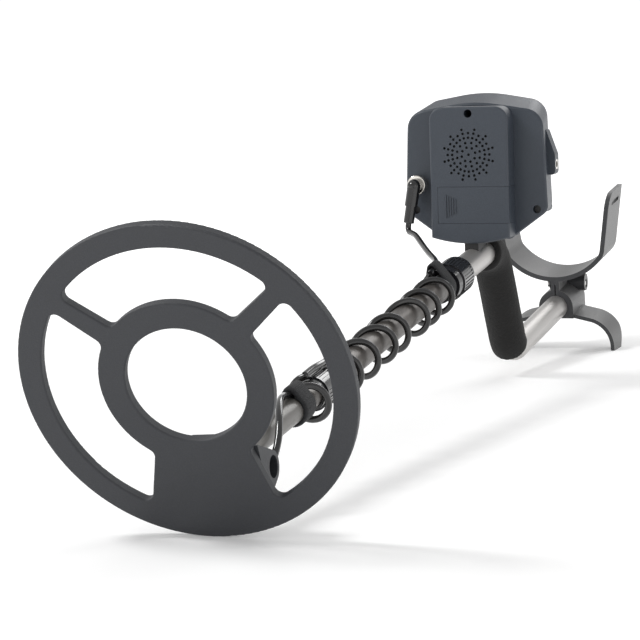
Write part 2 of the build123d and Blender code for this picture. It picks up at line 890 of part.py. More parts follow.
tray_front = panel_y + wall + 2.6
tray_low = door_bottom + 0.6
tray_high = door_top - 0.6
tray_half = cell_length / 2 + 3.4
tray_depth = 31.0
cell_pitch = 2 * cell_radius + 0.4
with BuildPart() as battery_tray:
    with BuildSketch(facing(tray_front)):
        with Locations((0, (tray_low + tray_high) / 2)):
            Rectangle(2 * tray_half, tray_high - tray_low)
    extrude(amount=-tray_depth)
    with BuildSketch(facing(tray_front)):
        with Locations((0, (tray_low + tray_high) / 2)):
            Rectangle(2 * tray_half - 3, tray_high - tray_low - 3)
    extrude(amount=-(tray_depth - 1.3), mode=Mode.SUBTRACT)
save(battery_tray.part, "battery_tray")

cell_rows = [door_middle - cell_pitch / 2, door_middle + cell_pitch / 2]
cell_layers = [tray_front + cell_radius, tray_front + cell_radius + cell_pitch]
with BuildPart() as batteries:
    for start, length, radius in (
        (-cell_length / 2, cell_length - 1.5, cell_radius),
        (cell_length / 2 - 1.5, 1.5, 2.6),
    ):
        with BuildSketch(Plane.YZ.offset(pole_x + start)):
            with Locations(*[(y, z) for y in cell_layers for z in cell_rows]):
                Circle(radius)
        extrude(amount=length)
save(batteries.part, "batteries")

with BuildPart() as battery_contacts:
    for side in (-1, 1):
        with BuildSketch(Plane.YZ.offset(pole_x + side * (cell_length / 2 + 0.1))):
            with Locations(*[(y, z) for y in cell_layers for z in cell_rows]):
                Rectangle(9, 9)
        extrude(amount=side * 0.8)
save(battery_contacts.part, "battery_contacts")

# bracket under the box
bracket_half = 7.0
with BuildPart() as box_bracket:
    with BuildSketch(Plane((pole_x, (base_y - 20), 0), x_dir=across, z_dir=(0, -1, 0))):
        with Locations((0, box_low - 9)):
            Rectangle(2 * bracket_half, 18)
    extrude(amount=-32)
    with BuildSketch(rod(0)):
        Circle(tube_radius)
    extrude(amount=120, mode=Mode.SUBTRACT)
    with BuildSketch(rod(0)):
        with Locations((0, -25)):
            Rectangle(60, 62)
    extrude(amount=120, mode=Mode.SUBTRACT)
    with BuildSketch(Plane.XY.offset(box_low)):
        with Locations(*bracket_spots):
            Circle(bracket_screw_radius)
    extrude(amount=-30, mode=Mode.SUBTRACT)
save(box_bracket.part, "box_bracket")

with BuildPart() as bracket_screws:
    with BuildSketch(Plane.XY.offset(box_low + wall + 0.4)):
        with Locations(*bracket_spots):
            Circle(3.6)
    extrude(amount=2.4)
    with BuildSketch(Plane.XY.offset(box_low + wall + 0.4)):
        with Locations(*bracket_spots):
            Circle(bracket_screw_radius)
    extrude(amount=-(wall + 0.4 + 11))
save(bracket_screws.part, "bracket_screws")

# connector: socket in the box, ring and elbow plug on the cable
socket_spot = (-socket_side, socket_z)
with BuildPart() as chassis_socket:
    with BuildSketch(facing(base_y + wall + 8)):
        with Locations(socket_spot):
            Circle(socket_radius)
    extrude(amount=wall + 16)
    with BuildSketch(facing(base_y)):
        with Locations(socket_spot):
            Circle(plug_ring_radius - 0.3)
    extrude(amount=2.2)
save(chassis_socket.part, "chassis_socket")

ring_front = base_y - 12.8
ring_back = base_y - 2.6
ring_shoulder = base_y - 8.2
with BuildPart() as plug_ring:
    with BuildSketch(facing(ring_back)):
        with Locations(socket_spot):
            Circle(plug_ring_radius)
            Circle(socket_radius + seat_gap, mode=Mode.SUBTRACT)
    extrude(amount=ring_back - ring_shoulder)
    with BuildSketch(facing(ring_shoulder)):
        with Locations(socket_spot):
            Circle(plug_ring_radius)
            Circle(socket_radius - 0.5 + seat_gap, mode=Mode.SUBTRACT)
    extrude(amount=ring_shoulder - ring_front)
    fillet(plug_ring.faces().sort_by(Axis.Y)[0].edges().sort_by(SortBy.LENGTH)[-1], 1.0)
save(plug_ring.part, "plug_ring")

elbow = Vector(pole_x - socket_side, base_y - 20, socket_z - 0.5)
boot_end = on_rod(67.6, 38.9, -62.6)
boot_way = (boot_end - elbow).normalized()
with BuildPart() as cable_plug:
    with BuildSketch(facing(ring_shoulder - seat_gap)):
        with Locations(socket_spot):
            Circle(socket_radius - 0.5)
    extrude(amount=ring_shoulder - seat_gap - elbow.Y)
    with Locations(Plane(elbow)):
        Sphere(socket_radius - 0.3)
    with BuildSketch(Plane(elbow, z_dir=boot_way)):
        Circle(boot_radius + 0.6)
    extrude(amount=20)
    with BuildSketch(Plane(elbow, z_dir=boot_way)):
        Circle(boot_radius - 0.6)
    extrude(amount=(boot_end - elbow).length)
    last_face = cable_plug.faces().sort_by(Axis(elbow, boot_way))[-1]
    fillet(last_face.edges(), 1.0)
save(cable_plug.part, "cable_plug")

# ------------------------------------------------------------------ arm cuff and stand
with BuildSketch() as cuff_room:
    with BuildLine():
        left_arm = Line((-cuff_tip_half, cuff_tip_height), (-cuff_inner_half, cuff_bend_height))
        cradle = ThreePointArc(
            (-cuff_inner_half, cuff_bend_height),
            (0, cuff_inner_low),
            (cuff_inner_half, cuff_bend_height),
        )
        right_arm = Line((cuff_inner_half, cuff_bend_height), (cuff_tip_half, cuff_tip_height))
        Line((cuff_tip_half, cuff_tip_height), (-cuff_tip_half, cuff_tip_height))
    make_face()
    fillet(cuff_room.vertices().sort_by(Axis.Y)[:2], 16)

lug_left = 16.0
lug_right = 24.0
lug_radius = 9.5
nut_side = 18.0
nut_radius = 4.9
with BuildPart() as arm_cuff:
    with BuildSketch(rear(cuff_start)):
        add(cuff_room.sketch)
        offset(amount=cuff_thick)
        add(cuff_room.sketch, mode=Mode.SUBTRACT)
        with Locations((0, cuff_tip_height + 10)):
            Rectangle(2 * cuff_tip_half + 30, 20, mode=Mode.SUBTRACT)
    extrude(amount=-cuff_depth)
    with BuildSketch(cuff_side(-cuff_tip_half - 20)):
        with BuildLine():
            Polyline(
                (0, -tube_radius),
                (cuff_depth, -tube_radius),
                (cuff_depth, cuff_tip_height),
                (0, cuff_tip_height),
                close=True,
            )
        side_outline = make_face()
        tops = side_outline.vertices().group_by(Axis.Y)[-1].sort_by(Axis.X)
        fillet(tops[0], 18)
        fillet(side_outline.vertices().group_by(Axis.Y)[-1].sort_by(Axis.X)[-1], 9)
    extrude(amount=2 * cuff_tip_half + 40, mode=Mode.INTERSECT)
    with BuildSketch(cuff_side(-cuff_tip_half - 20)):
        with Locations((cuff_depth / 2 + 2, cuff_tip_height - 13)):
            SlotOverall(36, 4.4)
    extrude(amount=2 * cuff_tip_half + 40, mode=Mode.SUBTRACT)
    # saddle over the tube, its neck and the two clamp lugs
    with BuildSketch(rear(cuff_start)):
        Circle(saddle_radius)
        with Locations((0, -saddle_radius / 2)):
            Rectangle(2 * saddle_radius, saddle_radius)
        with Locations((0, cuff_inner_low / 2 + 1)):
            Rectangle(2 * neck_half, cuff_inner_low - 2)
        with Locations((0, -tube_radius - 10)):
            Rectangle(4 * saddle_radius, 20, mode=Mode.SUBTRACT)
    extrude(amount=-(cuff_depth - 4))
    with BuildSketch(cuff_side(-lug_left)):
        with Locations((clamp_back, clamp_height + 1.5)):
            Circle(lug_radius)
    extrude(amount=lug_left + lug_right)
    with BuildSketch(rear(cuff_start - 1)):
        Circle(tube_radius + seat_gap)
        with Locations((0, -tube_radius)):
            Rectangle(9, 9)
        with Locations((0, tube_radius + 5)):
            Rectangle(1.2, 15)
    extrude(amount=-cuff_depth, mode=Mode.SUBTRACT)
    with BuildSketch(cuff_side(-20)):
        with Locations((clamp_back, clamp_height)):
            Circle(clamp_bolt_radius)
    extrude(amount=50, mode=Mode.SUBTRACT)
    with BuildSketch(cuff_side(nut_side)):
        with Locations((clamp_back, clamp_height)):
            RegularPolygon(nut_radius + clearance, 6)
    extrude(amount=10, mode=Mode.SUBTRACT)
save(arm_cuff.part, "arm_cuff")

with BuildPart() as clamp_bolt:
    with BuildSketch(cuff_side(-lug_left)):
        with Locations((clamp_back, clamp_height)):
            Circle(4.6)
    extrude(amount=-3)
    with BuildSketch(cuff_side(-lug_left)):
        with Locations((clamp_back, clamp_height)):
            Circle(clamp_bolt_radius)
    extrude(amount=lug_left + lug_right - 0.5)
save(clamp_bolt.part, "clamp_bolt")

with BuildPart() as clamp_nut:
    with BuildSketch(cuff_side(nut_side)):
        with Locations((clamp_back, clamp_height)):
            RegularPolygon(nut_radius, 6)
            Circle(clamp_bolt_radius, mode=Mode.SUBTRACT)
    extrude(amount=4)
save(clamp_nut.part, "clamp_nut")

floor_below = rear(cuff_start).origin.Z + cuff_depth * sin(rise)
leg_bottom = -(floor_below / cos(rise) + 4)
leg_centre = leg_half_span - 1.0
with BuildPart() as stand_legs:
    for side in (-1, 1):
        with BuildSketch(rear(cuff_start + 1.5)):
            with BuildLine():
                FilletPolyline(
                    (side * (saddle_radius - 2), -9.9),
                    (side * leg_centre, -20.2),
                    (side * (leg_centre + 0.7), leg_bottom),
                    radius=31,
                )
            trace(line_width=leg_thick)
            with Locations((0, -10)):
                Rectangle(2 * saddle_radius, 40, mode=Mode.SUBTRACT)
        extrude(amount=-leg_depth)
    with BuildSketch(cuff_side(-leg_half_span - 20)):
        with BuildLine():
            Polyline(
                (0, 5),
                (leg_depth + 1.5, 5),
                (leg_depth + 1.5, -30),
                (leg_tip_depth + 3, leg_bottom),
                (0, leg_bottom),
                close=True,
            )
        leg_side = make_face()
        fillet(leg_side.vertices().sort_by(Axis.X)[-1:], 14)
    extrude(amount=2 * leg_half_span + 40, mode=Mode.INTERSECT)
    split(bisect_by=Plane.XY, keep=Keep.TOP)
save(stand_legs.part, "stand_legs")


# ------------------------------------------------------------------ the cable
def cable(points, name, radius):
    """Cable along a route: straight runs joined by arcs as wide as the runs allow."""
    runs = [after - before for before, after in zip(points, points[1:])]
    radii = []
    for before, after in zip(runs, runs[1:]):
        half_turn = radians(before.get_angle(after)) / 2
        radii.append(0.45 * min(before.length, after.length) / tan(half_turn))
    with BuildPart() as tube:
        with BuildLine() as route:
            FilletPolyline(*points, radius=radii)
        with BuildSketch(Plane(points[0], z_dir=runs[0])):
            Circle(radius)
        sweep()
    length = sum(edge.length for edge in route.edges())
    ratio = tube.part.volume / (pi * radius**2 * length)
    print(name, "length", round(length, 1), "volume over section x length", round(ratio, 4))
    print(name, "radii", [round(turn_radius, 1) for turn_radius in radii])
    return tube.part


channel_radius = cable_radius + seat_gap
end_gap = 0.6
gland_mouth = coil.from_local_coords(Vector(0, gland_drop, -pad_level - gland_length))
coil_cable_route = [
    gland_mouth,
    gland_mouth - coil_normal * 11,
    on_rod(733.0, -17.2, 8.0),
    on_rod(719.0, -16.8, 13.8),
    on_rod(705.5, -13.6, 16.4),
    on_rod(695.0, -7.4, 16.6),
    on_rod(686.0, 1.0, 16.4),
    on_rod(676.0, 9.6, 14.0),
    on_rod(661.5, 16.6, 9.0),
    on_rod(642.0, 19.0, 3.4),
    on_rod(623.0, 16.0, -0.3),
    on_rod(610.0, lower_cable_lift, 0, stem_turn),
    on_rod(lower_strap_start, lower_cable_lift, 0, stem_turn),
]
cable_link_route = [
    on_rod(stem_turns_rear - end_gap, 18.0, -3.0),
    on_rod(555.0, 18.9, -1.4),
    on_rod(543.0, 19.3, 0.6),
    on_rod(531.0, 18.7, 1.5),
    on_rod(winding_front + end_gap, 17.3, 0.8),
]
cable_lead_route = [
    boot_end + boot_way * seat_gap,
    boot_end + boot_way * 8,
    on_rod(79.5, 31.0, -54.6),
    on_rod(89.0, 30.0, -48.4),
    on_rod(107.0, 26.2, -38.2),
    on_rod(131.0, 22.9, -25.0),
    on_rod(153.0, 20.9, -11.9),
    on_rod(171.0, 20.9, -5.5),
    on_rod(187.0, 19.9, -4.1),
    on_rod(winding_rear - end_gap, 18.0, -3.5),
]
save(cable(coil_cable_route, "coil_cable", cable_radius), "coil_cable")
save(cable(cable_link_route, "cable_link", cable_radius), "cable_link")
save(cable(cable_lead_route, "cable_lead", cable_radius), "cable_lead")
cable_winding = ring_between(winding_rear, winding_front, winding_radius, mid_radius)
save(cable_winding, "cable_winding")
stem_turns_front = lower_strap_start - end_gap
stem_turns_inner = stem_radius + clearance
stem_turns = ring_between(stem_turns_rear, stem_turns_front, winding_radius, stem_turns_inner, stem_turn)
save(stem_turns, "cable_stem_turns")

# straps round a tube and the cable, each with a channel along the cable's own route
with BuildPart() as upper_strap:
    add(strap(upper_strap_start, upper_strap_width, mid_radius, upper_cable_spot))
    add(cable(cable_lead_route, "channel in the upper strap", channel_radius), mode=Mode.SUBTRACT)
save(upper_strap.part, "upper_strap")

with BuildPart() as lower_strap:
    add(strap(lower_strap_start, strap_width, stem_radius, (0, lower_cable_lift), stem_turn))
    add(cable(coil_cable_route, "channel in the lower strap", channel_radius), mode=Mode.SUBTRACT)
save(lower_strap.part, "lower_strap")
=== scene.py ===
"""Looks of a hand-held metal detector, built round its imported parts.

Everything is in metres in the parts' own frame: +Y runs back from the search coil to the
arm cuff, +Z is up and the floor is Z = 0.
"""
import json
import math
import bmesh
import bpy
from bpy.props import FloatProperty, FloatVectorProperty, IntProperty, PointerProperty
from mathutils import Matrix, Vector, noise


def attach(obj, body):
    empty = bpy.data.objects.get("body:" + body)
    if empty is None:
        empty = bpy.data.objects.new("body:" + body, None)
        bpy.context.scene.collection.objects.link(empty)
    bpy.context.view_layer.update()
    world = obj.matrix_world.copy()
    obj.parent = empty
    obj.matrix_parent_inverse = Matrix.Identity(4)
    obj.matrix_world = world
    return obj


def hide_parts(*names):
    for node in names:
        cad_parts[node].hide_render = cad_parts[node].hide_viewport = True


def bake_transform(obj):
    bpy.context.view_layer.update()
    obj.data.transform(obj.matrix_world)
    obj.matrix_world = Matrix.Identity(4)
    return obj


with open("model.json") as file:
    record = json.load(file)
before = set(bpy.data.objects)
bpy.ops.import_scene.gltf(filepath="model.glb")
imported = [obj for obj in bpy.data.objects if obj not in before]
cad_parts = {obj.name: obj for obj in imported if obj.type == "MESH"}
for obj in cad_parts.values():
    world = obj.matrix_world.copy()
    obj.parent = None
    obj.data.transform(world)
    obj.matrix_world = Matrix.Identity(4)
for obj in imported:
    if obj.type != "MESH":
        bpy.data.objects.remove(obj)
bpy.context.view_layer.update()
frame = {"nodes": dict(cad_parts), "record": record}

bl_info = {
    "name": "Metal Detector",
    "version": (1, 0, 0),
    "blender": (4, 5, 0),
    "location": "View3D > Sidebar > Detector",
    "description": "Cable, straps, grip and finishes of a hand-held metal detector",
    "category": "Object",
}

# ------------------------------------------------------------------ the pole's own directions
RISE = math.radians(6.87)
FRONT_CORNER = Vector((0.004016, 0.25835, 0.140394))
FRONT_WAY = Vector((0.0, -math.cos(RISE), -math.sin(RISE)))
LIFT_WAY = Vector((0.0, -math.sin(RISE), math.cos(RISE)))
SIDE_WAY = Vector((1.0, 0.0, 0.0))
STEM_TURN = math.radians(3.06)
GLAND_MOUTH = Vector((0.005067, -0.490168, 0.030400))
GLAND_WAY = Vector((-0.01342, 0.930908, 0.365008))
BOOT_END = Vector((-0.058584, 0.186582, 0.170929))
BOOT_WAY = Vector((-0.141608, -0.099881, -0.984871))
SOCKET = Vector((-0.053384, 0.210250, 0.207594))
SPEAKER = Vector((0.004016, 0.186650, 0.237594))
DISPLAY = Vector((0.004016, 0.254650, 0.244594))


def beside_pole(reach, lift, side, turn=0.0):
    """Point beside the front tube's axis, from millimetres."""
    across = side * math.cos(turn) - lift * math.sin(turn)
    above = side * math.sin(turn) + lift * math.cos(turn)
    return FRONT_CORNER + (FRONT_WAY * reach + LIFT_WAY * above + SIDE_WAY * across) * 0.001


# ------------------------------------------------------------------ settings
class DetectorSizes(bpy.types.PropertyGroup):
    """Sizes that can be changed"""

    cable_radius: FloatProperty(
        name="Cable radius", description="Half the cable's diameter", default=0.0029, subtype="DISTANCE"
    )
    turn_radius: FloatProperty(
        name="Turn radius",
        description="Middle of the cable to the middle of its turn",
        default=0.0169,
        subtype="DISTANCE",
    )
    strap_rib: FloatProperty(
        name="Strap rib pitch",
        description="Distance between the ribs of a strap",
        default=0.0015,
        subtype="DISTANCE",
    )
    knurl_count: IntProperty(name="Knurls", description="Ridges round the plug's ring", default=36)
    foam_cell: FloatProperty(
        name="Foam cell", description="Size of the bumps in the foam grip", default=0.0022, subtype="DISTANCE"
    )


class DetectorColours(bpy.types.PropertyGroup):
    """Colours that can be changed"""

    coil: FloatVectorProperty(
        name="Coil", description="Search coil", default=(0.030, 0.032, 0.037), subtype="COLOR"
    )
    box: FloatVectorProperty(
        name="Box", description="Control box", default=(0.034, 0.042, 0.055), subtype="COLOR"
    )
    silver: FloatVectorProperty(
        name="Silver tube", description="S-shaped tube", default=(0.53, 0.515, 0.50), subtype="COLOR"
    )
    gunmetal: FloatVectorProperty(
        name="Dark tube", description="Middle tube", default=(0.110, 0.100, 0.092), subtype="COLOR"
    )
    cable: FloatVectorProperty(
        name="Cable", description="Cable and its boots", default=(0.0065, 0.0065, 0.0068), subtype="COLOR"
    )
    foam: FloatVectorProperty(
        name="Foam", description="Foam grip", default=(0.0038, 0.0036, 0.0034), subtype="COLOR"
    )
    # this colour is painted on the faces of the cuff and stand as a reflection of the white surroundings
    cuff: FloatVectorProperty(
        name="Cuff",
        description="Faces of the arm cuff and stand",
        default=(0.100, 0.100, 0.101),
        subtype="COLOR",
    )


# ------------------------------------------------------------------ shader maths
class Wire:
    """A shader socket that adds, multiplies and subtracts like a number"""

    def __init__(self, finish, socket):
        self.finish = finish
        self.socket = socket

    def _math(self, operation, first, second=0.0):
        return self.finish.node("ShaderNodeMath", {"operation": operation}, first, second)

    def __add__(self, other):
        return self._math("ADD", self, other)

    __radd__ = __add__

    def __mul__(self, other):
        return self._math("MULTIPLY", self, other)

    __rmul__ = __mul__

    def __sub__(self, other):
        return self._math("SUBTRACT", self, other)

    def __rsub__(self, other):
        return self._math("SUBTRACT", other, self)

    def __truediv__(self, other):
        return self._math("DIVIDE", self, other)

    def __pow__(self, other):
        return self._math("POWER", self, other)

    def __gt__(self, other):
        return self._math("GREATER_THAN", self, other)

    def __lt__(self, other):
        return self._math("LESS_THAN", self, other)

    def sine(self):
        return self._math("SINE", self)

    def size(self):
        return self._math("ABSOLUTE", self)


class Finish:
    """A material, with short ways to make its nodes"""

    def __init__(self, name, colour, roughness, metallic=0.0, coat=0.0):
        self.material = bpy.data.materials.new(name)
        self.material.use_nodes = True
        self.material.diffuse_color = (*colour, 1.0)
        self.nodes = self.material.node_tree.nodes
        self.links = self.material.node_tree.links
        self.surface = self.nodes["Principled BSDF"]
        self.surface.inputs["Base Color"].default_value = (*colour, 1.0)
        self.surface.inputs["Roughness"].default_value = roughness
        self.surface.inputs["Metallic"].default_value = metallic
        self.surface.inputs["Coat Weight"].default_value = coat
        self.surface.inputs["Coat Roughness"].default_value = 0.12
        self.place = self.node("ShaderNodeTexCoord", {}, output="Object")
        self.facing = Wire(self, self.place.socket.node.outputs["Normal"])

    def put(self, socket, value):
        """Link or set one input"""
        if isinstance(value, Wire):
            self.links.new(value.socket, socket)
        elif socket.type == "RGBA" and len(value) == 3:
            socket.default_value = (*value, 1.0)
        else:
            socket.default_value = value

    def node(self, kind, settings, *values, output=0, **named):
        """Add a node: its settings first, then its inputs by place or by name"""
        node = self.nodes.new(kind)
        for key, value in settings.items():
            setattr(node, key, value)
        for index, value in enumerate(values):
            self.put(node.inputs[index], value)
        for key, value in named.items():
            self.put(node.inputs[key.replace("_", " ")], value)
        return Wire(self, node.outputs[output])

    def axis(self, index, vector=None):
        """One coordinate of a vector"""
        return self.node("ShaderNodeSeparateXYZ", {}, vector or self.place, output=index)

    def stretched(self, factors, turn=(0.0, 0.0, 0.0)):
        """The place on the piece, scaled along each axis after a turn"""
        turned = self.node("ShaderNodeMapping", {"vector_type": "POINT"}, self.place, Rotation=turn)
        return self.node("ShaderNodeMapping", {"vector_type": "POINT"}, turned, Scale=factors)

    def cloud(self, scale, detail=3.0, vector=None):
        """Soft noise from 0 to 1, scale in features per metre"""
        return self.node(
            "ShaderNodeTexNoise", {}, Vector=vector or self.place, Scale=scale, Detail=detail, Roughness=0.6
        )

    def cells(self, scale, vector=None):
        """Distance to the nearest cell centre"""
        return self.node("ShaderNodeTexVoronoi", {}, Vector=vector or self.place, Scale=scale)

    def blend(self, factor, first, second):
        """Mix of two colours"""
        node = self.nodes.new("ShaderNodeMix")
        node.data_type = "RGBA"
        self.put(node.inputs[0], factor)
        self.put(node.inputs[6], first)
        self.put(node.inputs[7], second)
        return Wire(self, node.outputs[2])

    def step(self, value, low, high):
        """0 below low, 1 above high, smooth between"""
        return self.node(
            "ShaderNodeMapRange",
            {"interpolation_type": "SMOOTHSTEP", "clamp": True},
            value,
            low,
            high,
            0.0,
            1.0,
        )

    def either(self, first, second):
        """The larger of two masks"""
        return self.node("ShaderNodeMath", {"operation": "MAXIMUM"}, first, second)

    def set(self, **inputs):
        """Feed the surface's inputs"""
        for key, value in inputs.items():
            self.put(self.surface.inputs[key.replace("_", " ")], value)

    def bump(self, height, distance, strength=1.0, under=None):
        """Bump from a height, distance in metres"""
        named = {"Height": height, "Distance": distance, "Strength": strength}
        if under is not None:
            named["Normal"] = under
        return self.node("ShaderNodeBump", {}, **named)


def shade(colour, factor):
    """A colour made lighter or darker"""
    return tuple(min(1.0, part * factor) for part in colour)


# ------------------------------------------------------------------ finishes
def moulded(name, colour, roughness, grain, depth, coat=0.0, spread=0.12):
    """Moulded plastic with a spark-eroded grain"""
    made = Finish(name, colour, roughness, coat=coat)
    fine = made.cloud(grain, 2.0)
    patch = made.cloud(22.0, 4.0)
    tone = made.blend(patch, shade(colour, 1 - spread), shade(colour, 1 + spread))
    speck = made.step(fine, 0.42, 0.7)
    made.set(
        Base_Color=made.blend(speck * 0.35, tone, shade(colour, 1.45)),
        Roughness=patch * 0.12 + (roughness - 0.06) + fine * 0.05,
        Normal=made.bump(fine, depth),
    )
    return made


def coil_plastic(colours):
    made = moulded("coil_plastic", colours.coil, 0.5, 950.0, 0.00022)
    return made.material


def box_plastic(colours):
    made = moulded("box_plastic", colours.box, 0.42, 1300.0, 0.00012)
    return made.material


def black_plastic(_):
    return moulded("black_plastic", (0.016, 0.016, 0.017), 0.5, 1200.0, 0.0001).material


def collar_plastic(_):
    """Shiny plastic with faint moulding marks and rubbed ridges"""
    made = Finish("collar_plastic", (0.011, 0.011, 0.013), 0.2, coat=0.35)
    wear = made.cloud(240.0, 5.0)
    rubbed = made.step(wear, 0.52, 0.74)
    made.set(
        Base_Color=made.blend(rubbed, (0.010, 0.010, 0.012), (0.022, 0.021, 0.021)),
        Roughness=rubbed * 0.16 + 0.16,
        Normal=made.bump(made.cloud(420.0), 0.00005),
    )
    return made.material


def stem_plastic(colours):
    """Lower stem: dark near the pole, light grey towards the coil"""
    made = Finish("stem_finish", colours.gunmetal, 0.36)
    along = made.stretched((900.0, 16.0, 900.0), (-RISE, 0.0, 0.0))
    draw = made.cloud(1.0, 3.0, along)
    light = made.blend(draw, (0.115, 0.110, 0.103), (0.17, 0.163, 0.153))
    dark = made.blend(draw, shade(colours.gunmetal, 0.75), shade(colours.gunmetal, 1.2))
    boundary = beside_pole(599.0, 0.0, 0.0).y
    bare = made.axis(1) < boundary
    made.set(
        Base_Color=made.blend(bare, dark, light),
        Metallic=0.55 - bare * 0.35,
        Roughness=draw * 0.14 + 0.28,
        Normal=made.bump(draw, 0.00003),
    )
    return made.material


def drawn_tube(name, colour, roughness, metallic):
    """Anodised tube with fine lines along its length"""
    made = Finish(name, colour, roughness, metallic)
    along = made.stretched((1100.0, 14.0, 1100.0), (-RISE, 0.0, 0.0))
    lines = made.cloud(1.0, 4.0, along)
    marks = made.step(made.cloud(90.0, 6.0), 0.60, 0.72)
    made.set(
        Base_Color=made.blend(lines, shade(colour, 0.86), shade(colour, 1.1)),
        Roughness=lines * 0.12 + (roughness - 0.05) + marks * 0.12,
        Normal=made.bump(lines, 0.00003),
    )
    return made.material


def tube_metal(colours):
    return drawn_tube("silver_tube", colours.silver, 0.38, 0.75)


def gunmetal_tube(colours):
    return drawn_tube("dark_tube", colours.gunmetal, 0.36, 0.55)


def cable_rubber(colours):
    """Glossy cable jacket, a little dusty and scuffed"""
    made = Finish("cable_jacket", colours.cable, 0.14, coat=0.4)
    dust = made.cloud(160.0, 6.0)
    scuff = made.step(dust, 0.55, 0.75)
    made.set(
        Base_Color=made.blend(scuff, colours.cable, shade(colours.cable, 2.1)),
        Roughness=scuff * 0.14 + 0.11,
        Normal=made.bump(made.cloud(600.0, 2.0), 0.00004),
    )
    return made.material


def webbing(_):
    """Woven hook-and-loop band with a soft nap"""
    made = Finish("strap_webbing", (0.007, 0.0075, 0.0085), 0.85)
    yarn = made.cells(1500.0)
    fluff = made.cloud(700.0, 5.0)
    made.surface.inputs["Sheen Weight"].default_value = 0.08
    made.set(
        Base_Color=made.blend(fluff, (0.004, 0.0045, 0.0055), (0.015, 0.016, 0.0185)),
        Roughness=yarn * 0.12 + 0.78,
        Normal=made.bump(yarn + fluff * 0.8, 0.00022),
    )
    return made.material


def foam_finish(colours):
    """Closed-cell foam: tiny open pores in a matt skin, the pores painted darker as shade inside them"""
    made = Finish("grip_foam", colours.foam, 0.95)
    pores = made.cells(900.0)
    lumps = made.cloud(380.0, 5.0)
    # pit is 0 in the pores, where the colour is painted darker as shade inside them
    pit = made.step(pores, 0.05, 0.35)
    skin = made.blend(lumps, colours.foam, shade(colours.foam, 1.7))
    made.surface.inputs["Sheen Weight"].default_value = 0.03
    made.set(
        Base_Color=made.blend(pit, shade(colours.foam, 0.55), skin),
        Roughness=0.96 - lumps * 0.08,
        Normal=made.bump(pores * 0.7 + lumps, 0.0005),
    )
    return made.material


def nickel(_):
    """Bright nickel with faint polishing haze"""
    made = Finish("nickel", (0.72, 0.69, 0.63), 0.16, 1.0)
    haze = made.cloud(500.0, 4.0)
    made.set(
        Base_Color=made.blend(haze, (0.66, 0.62, 0.56), (0.80, 0.78, 0.74)),
        Roughness=haze * 0.16 + 0.1,
        Normal=made.bump(haze, 0.00002),
    )
    return made.material


def steel(_):
    made = Finish("plain_steel", (0.55, 0.54, 0.53), 0.3, 1.0)
    swirl = made.cloud(900.0, 4.0)
    made.set(
        Base_Color=made.blend(swirl, (0.45, 0.44, 0.43), (0.62, 0.61, 0.60)),
        Roughness=swirl * 0.2 + 0.22,
        Normal=made.bump(swirl, 0.00003),
    )
    return made.material


def cuff_plastic(colours):
    """Cuff and stand: dark moulded plastic whose faces are painted light as a reflection of the white
    surroundings; the front edges keep the dark plastic colour
    """
    made = Finish("cuff_plastic_and_painted_reflection", colours.cuff, 0.4)
    grain = made.cloud(1300.0, 2.0)
    patch = made.cloud(30.0, 4.0)
    ahead = made.node(
        "ShaderNodeVectorMath", {"operation": "DOT_PRODUCT"}, made.facing, tuple(FRONT_WAY), output="Value"
    )
    edge = made.step(ahead, 0.45, 0.75)
    # face: painted reflection, the light colour given to every face that does not point forward
    face = made.blend(patch, shade(colours.cuff, 0.85), shade(colours.cuff, 1.12))
    made.set(
        Base_Color=made.blend(edge, face, (0.032, 0.033, 0.036)),
        Roughness=patch * 0.1 + 0.36 + edge * 0.1,
        Normal=made.bump(grain, 0.0001),
    )
    return made.material


def window_glass(_):
    made = Finish("window", (0.05, 0.055, 0.06), 0.06, coat=0.5)
    smear = made.cloud(60.0, 5.0)
    made.set(
        Base_Color=made.blend(smear, (0.04, 0.044, 0.05), (0.06, 0.066, 0.072)),
        Roughness=smear * 0.1 + 0.03,
        Alpha=smear * 0.04 + 0.3,
    )
    return made.material


def display_glass(_):
    """Reflective display with a row of plain bars"""
    made = Finish("display_glass", (0.30, 0.33, 0.27), 0.18)
    across = made.axis(0) - DISPLAY.x
    up = made.axis(2) - DISPLAY.z
    bar = ((across * 900.0).sine() > 0.1) * (up.size() < 0.004) * (across.size() < 0.034)
    rule = ((up - 0.012).size() < 0.0005) * (across.size() < 0.036)
    glow = made.cloud(40.0)
    ground = made.blend(glow, (0.26, 0.29, 0.23), (0.33, 0.36, 0.29))
    made.set(
        Base_Color=made.blend(made.either(bar, rule), ground, (0.03, 0.035, 0.03)),
        Roughness=glow * 0.1 + 0.15,
    )
    return made.material


def circuit_lacquer(_):
    made = Finish("circuit_lacquer", (0.012, 0.10, 0.035), 0.3)
    tracks = made.cells(260.0)
    made.set(
        Base_Color=made.blend(made.step(tracks, 0.28, 0.34), (0.012, 0.10, 0.035), (0.02, 0.17, 0.06)),
        Roughness=tracks * 0.1 + 0.25,
        Normal=made.bump(tracks, 0.00008),
    )
    return made.material


def speaker_paper(_):
    made = Finish("speaker_paper", (0.02, 0.019, 0.018), 0.85)
    fibre = made.cloud(900.0, 6.0)
    made.set(
        Base_Color=made.blend(fibre, (0.014, 0.013, 0.012), (0.03, 0.028, 0.026)),
        Roughness=fibre * 0.15 + 0.78,
        Normal=made.bump(fibre, 0.0002),
    )
    return made.material


def cell_sleeve(_):
    made = Finish("cell_sleeve", (0.06, 0.065, 0.075), 0.28, coat=0.3)
    ends = made.step((made.axis(0) - SPEAKER.x).size(), 0.0135, 0.0140)
    wrap = made.cloud(300.0)
    made.set(
        Base_Color=made.blend(ends, (0.05, 0.055, 0.065), (0.42, 0.30, 0.14)),
        Roughness=wrap * 0.1 + 0.24,
    )
    return made.material


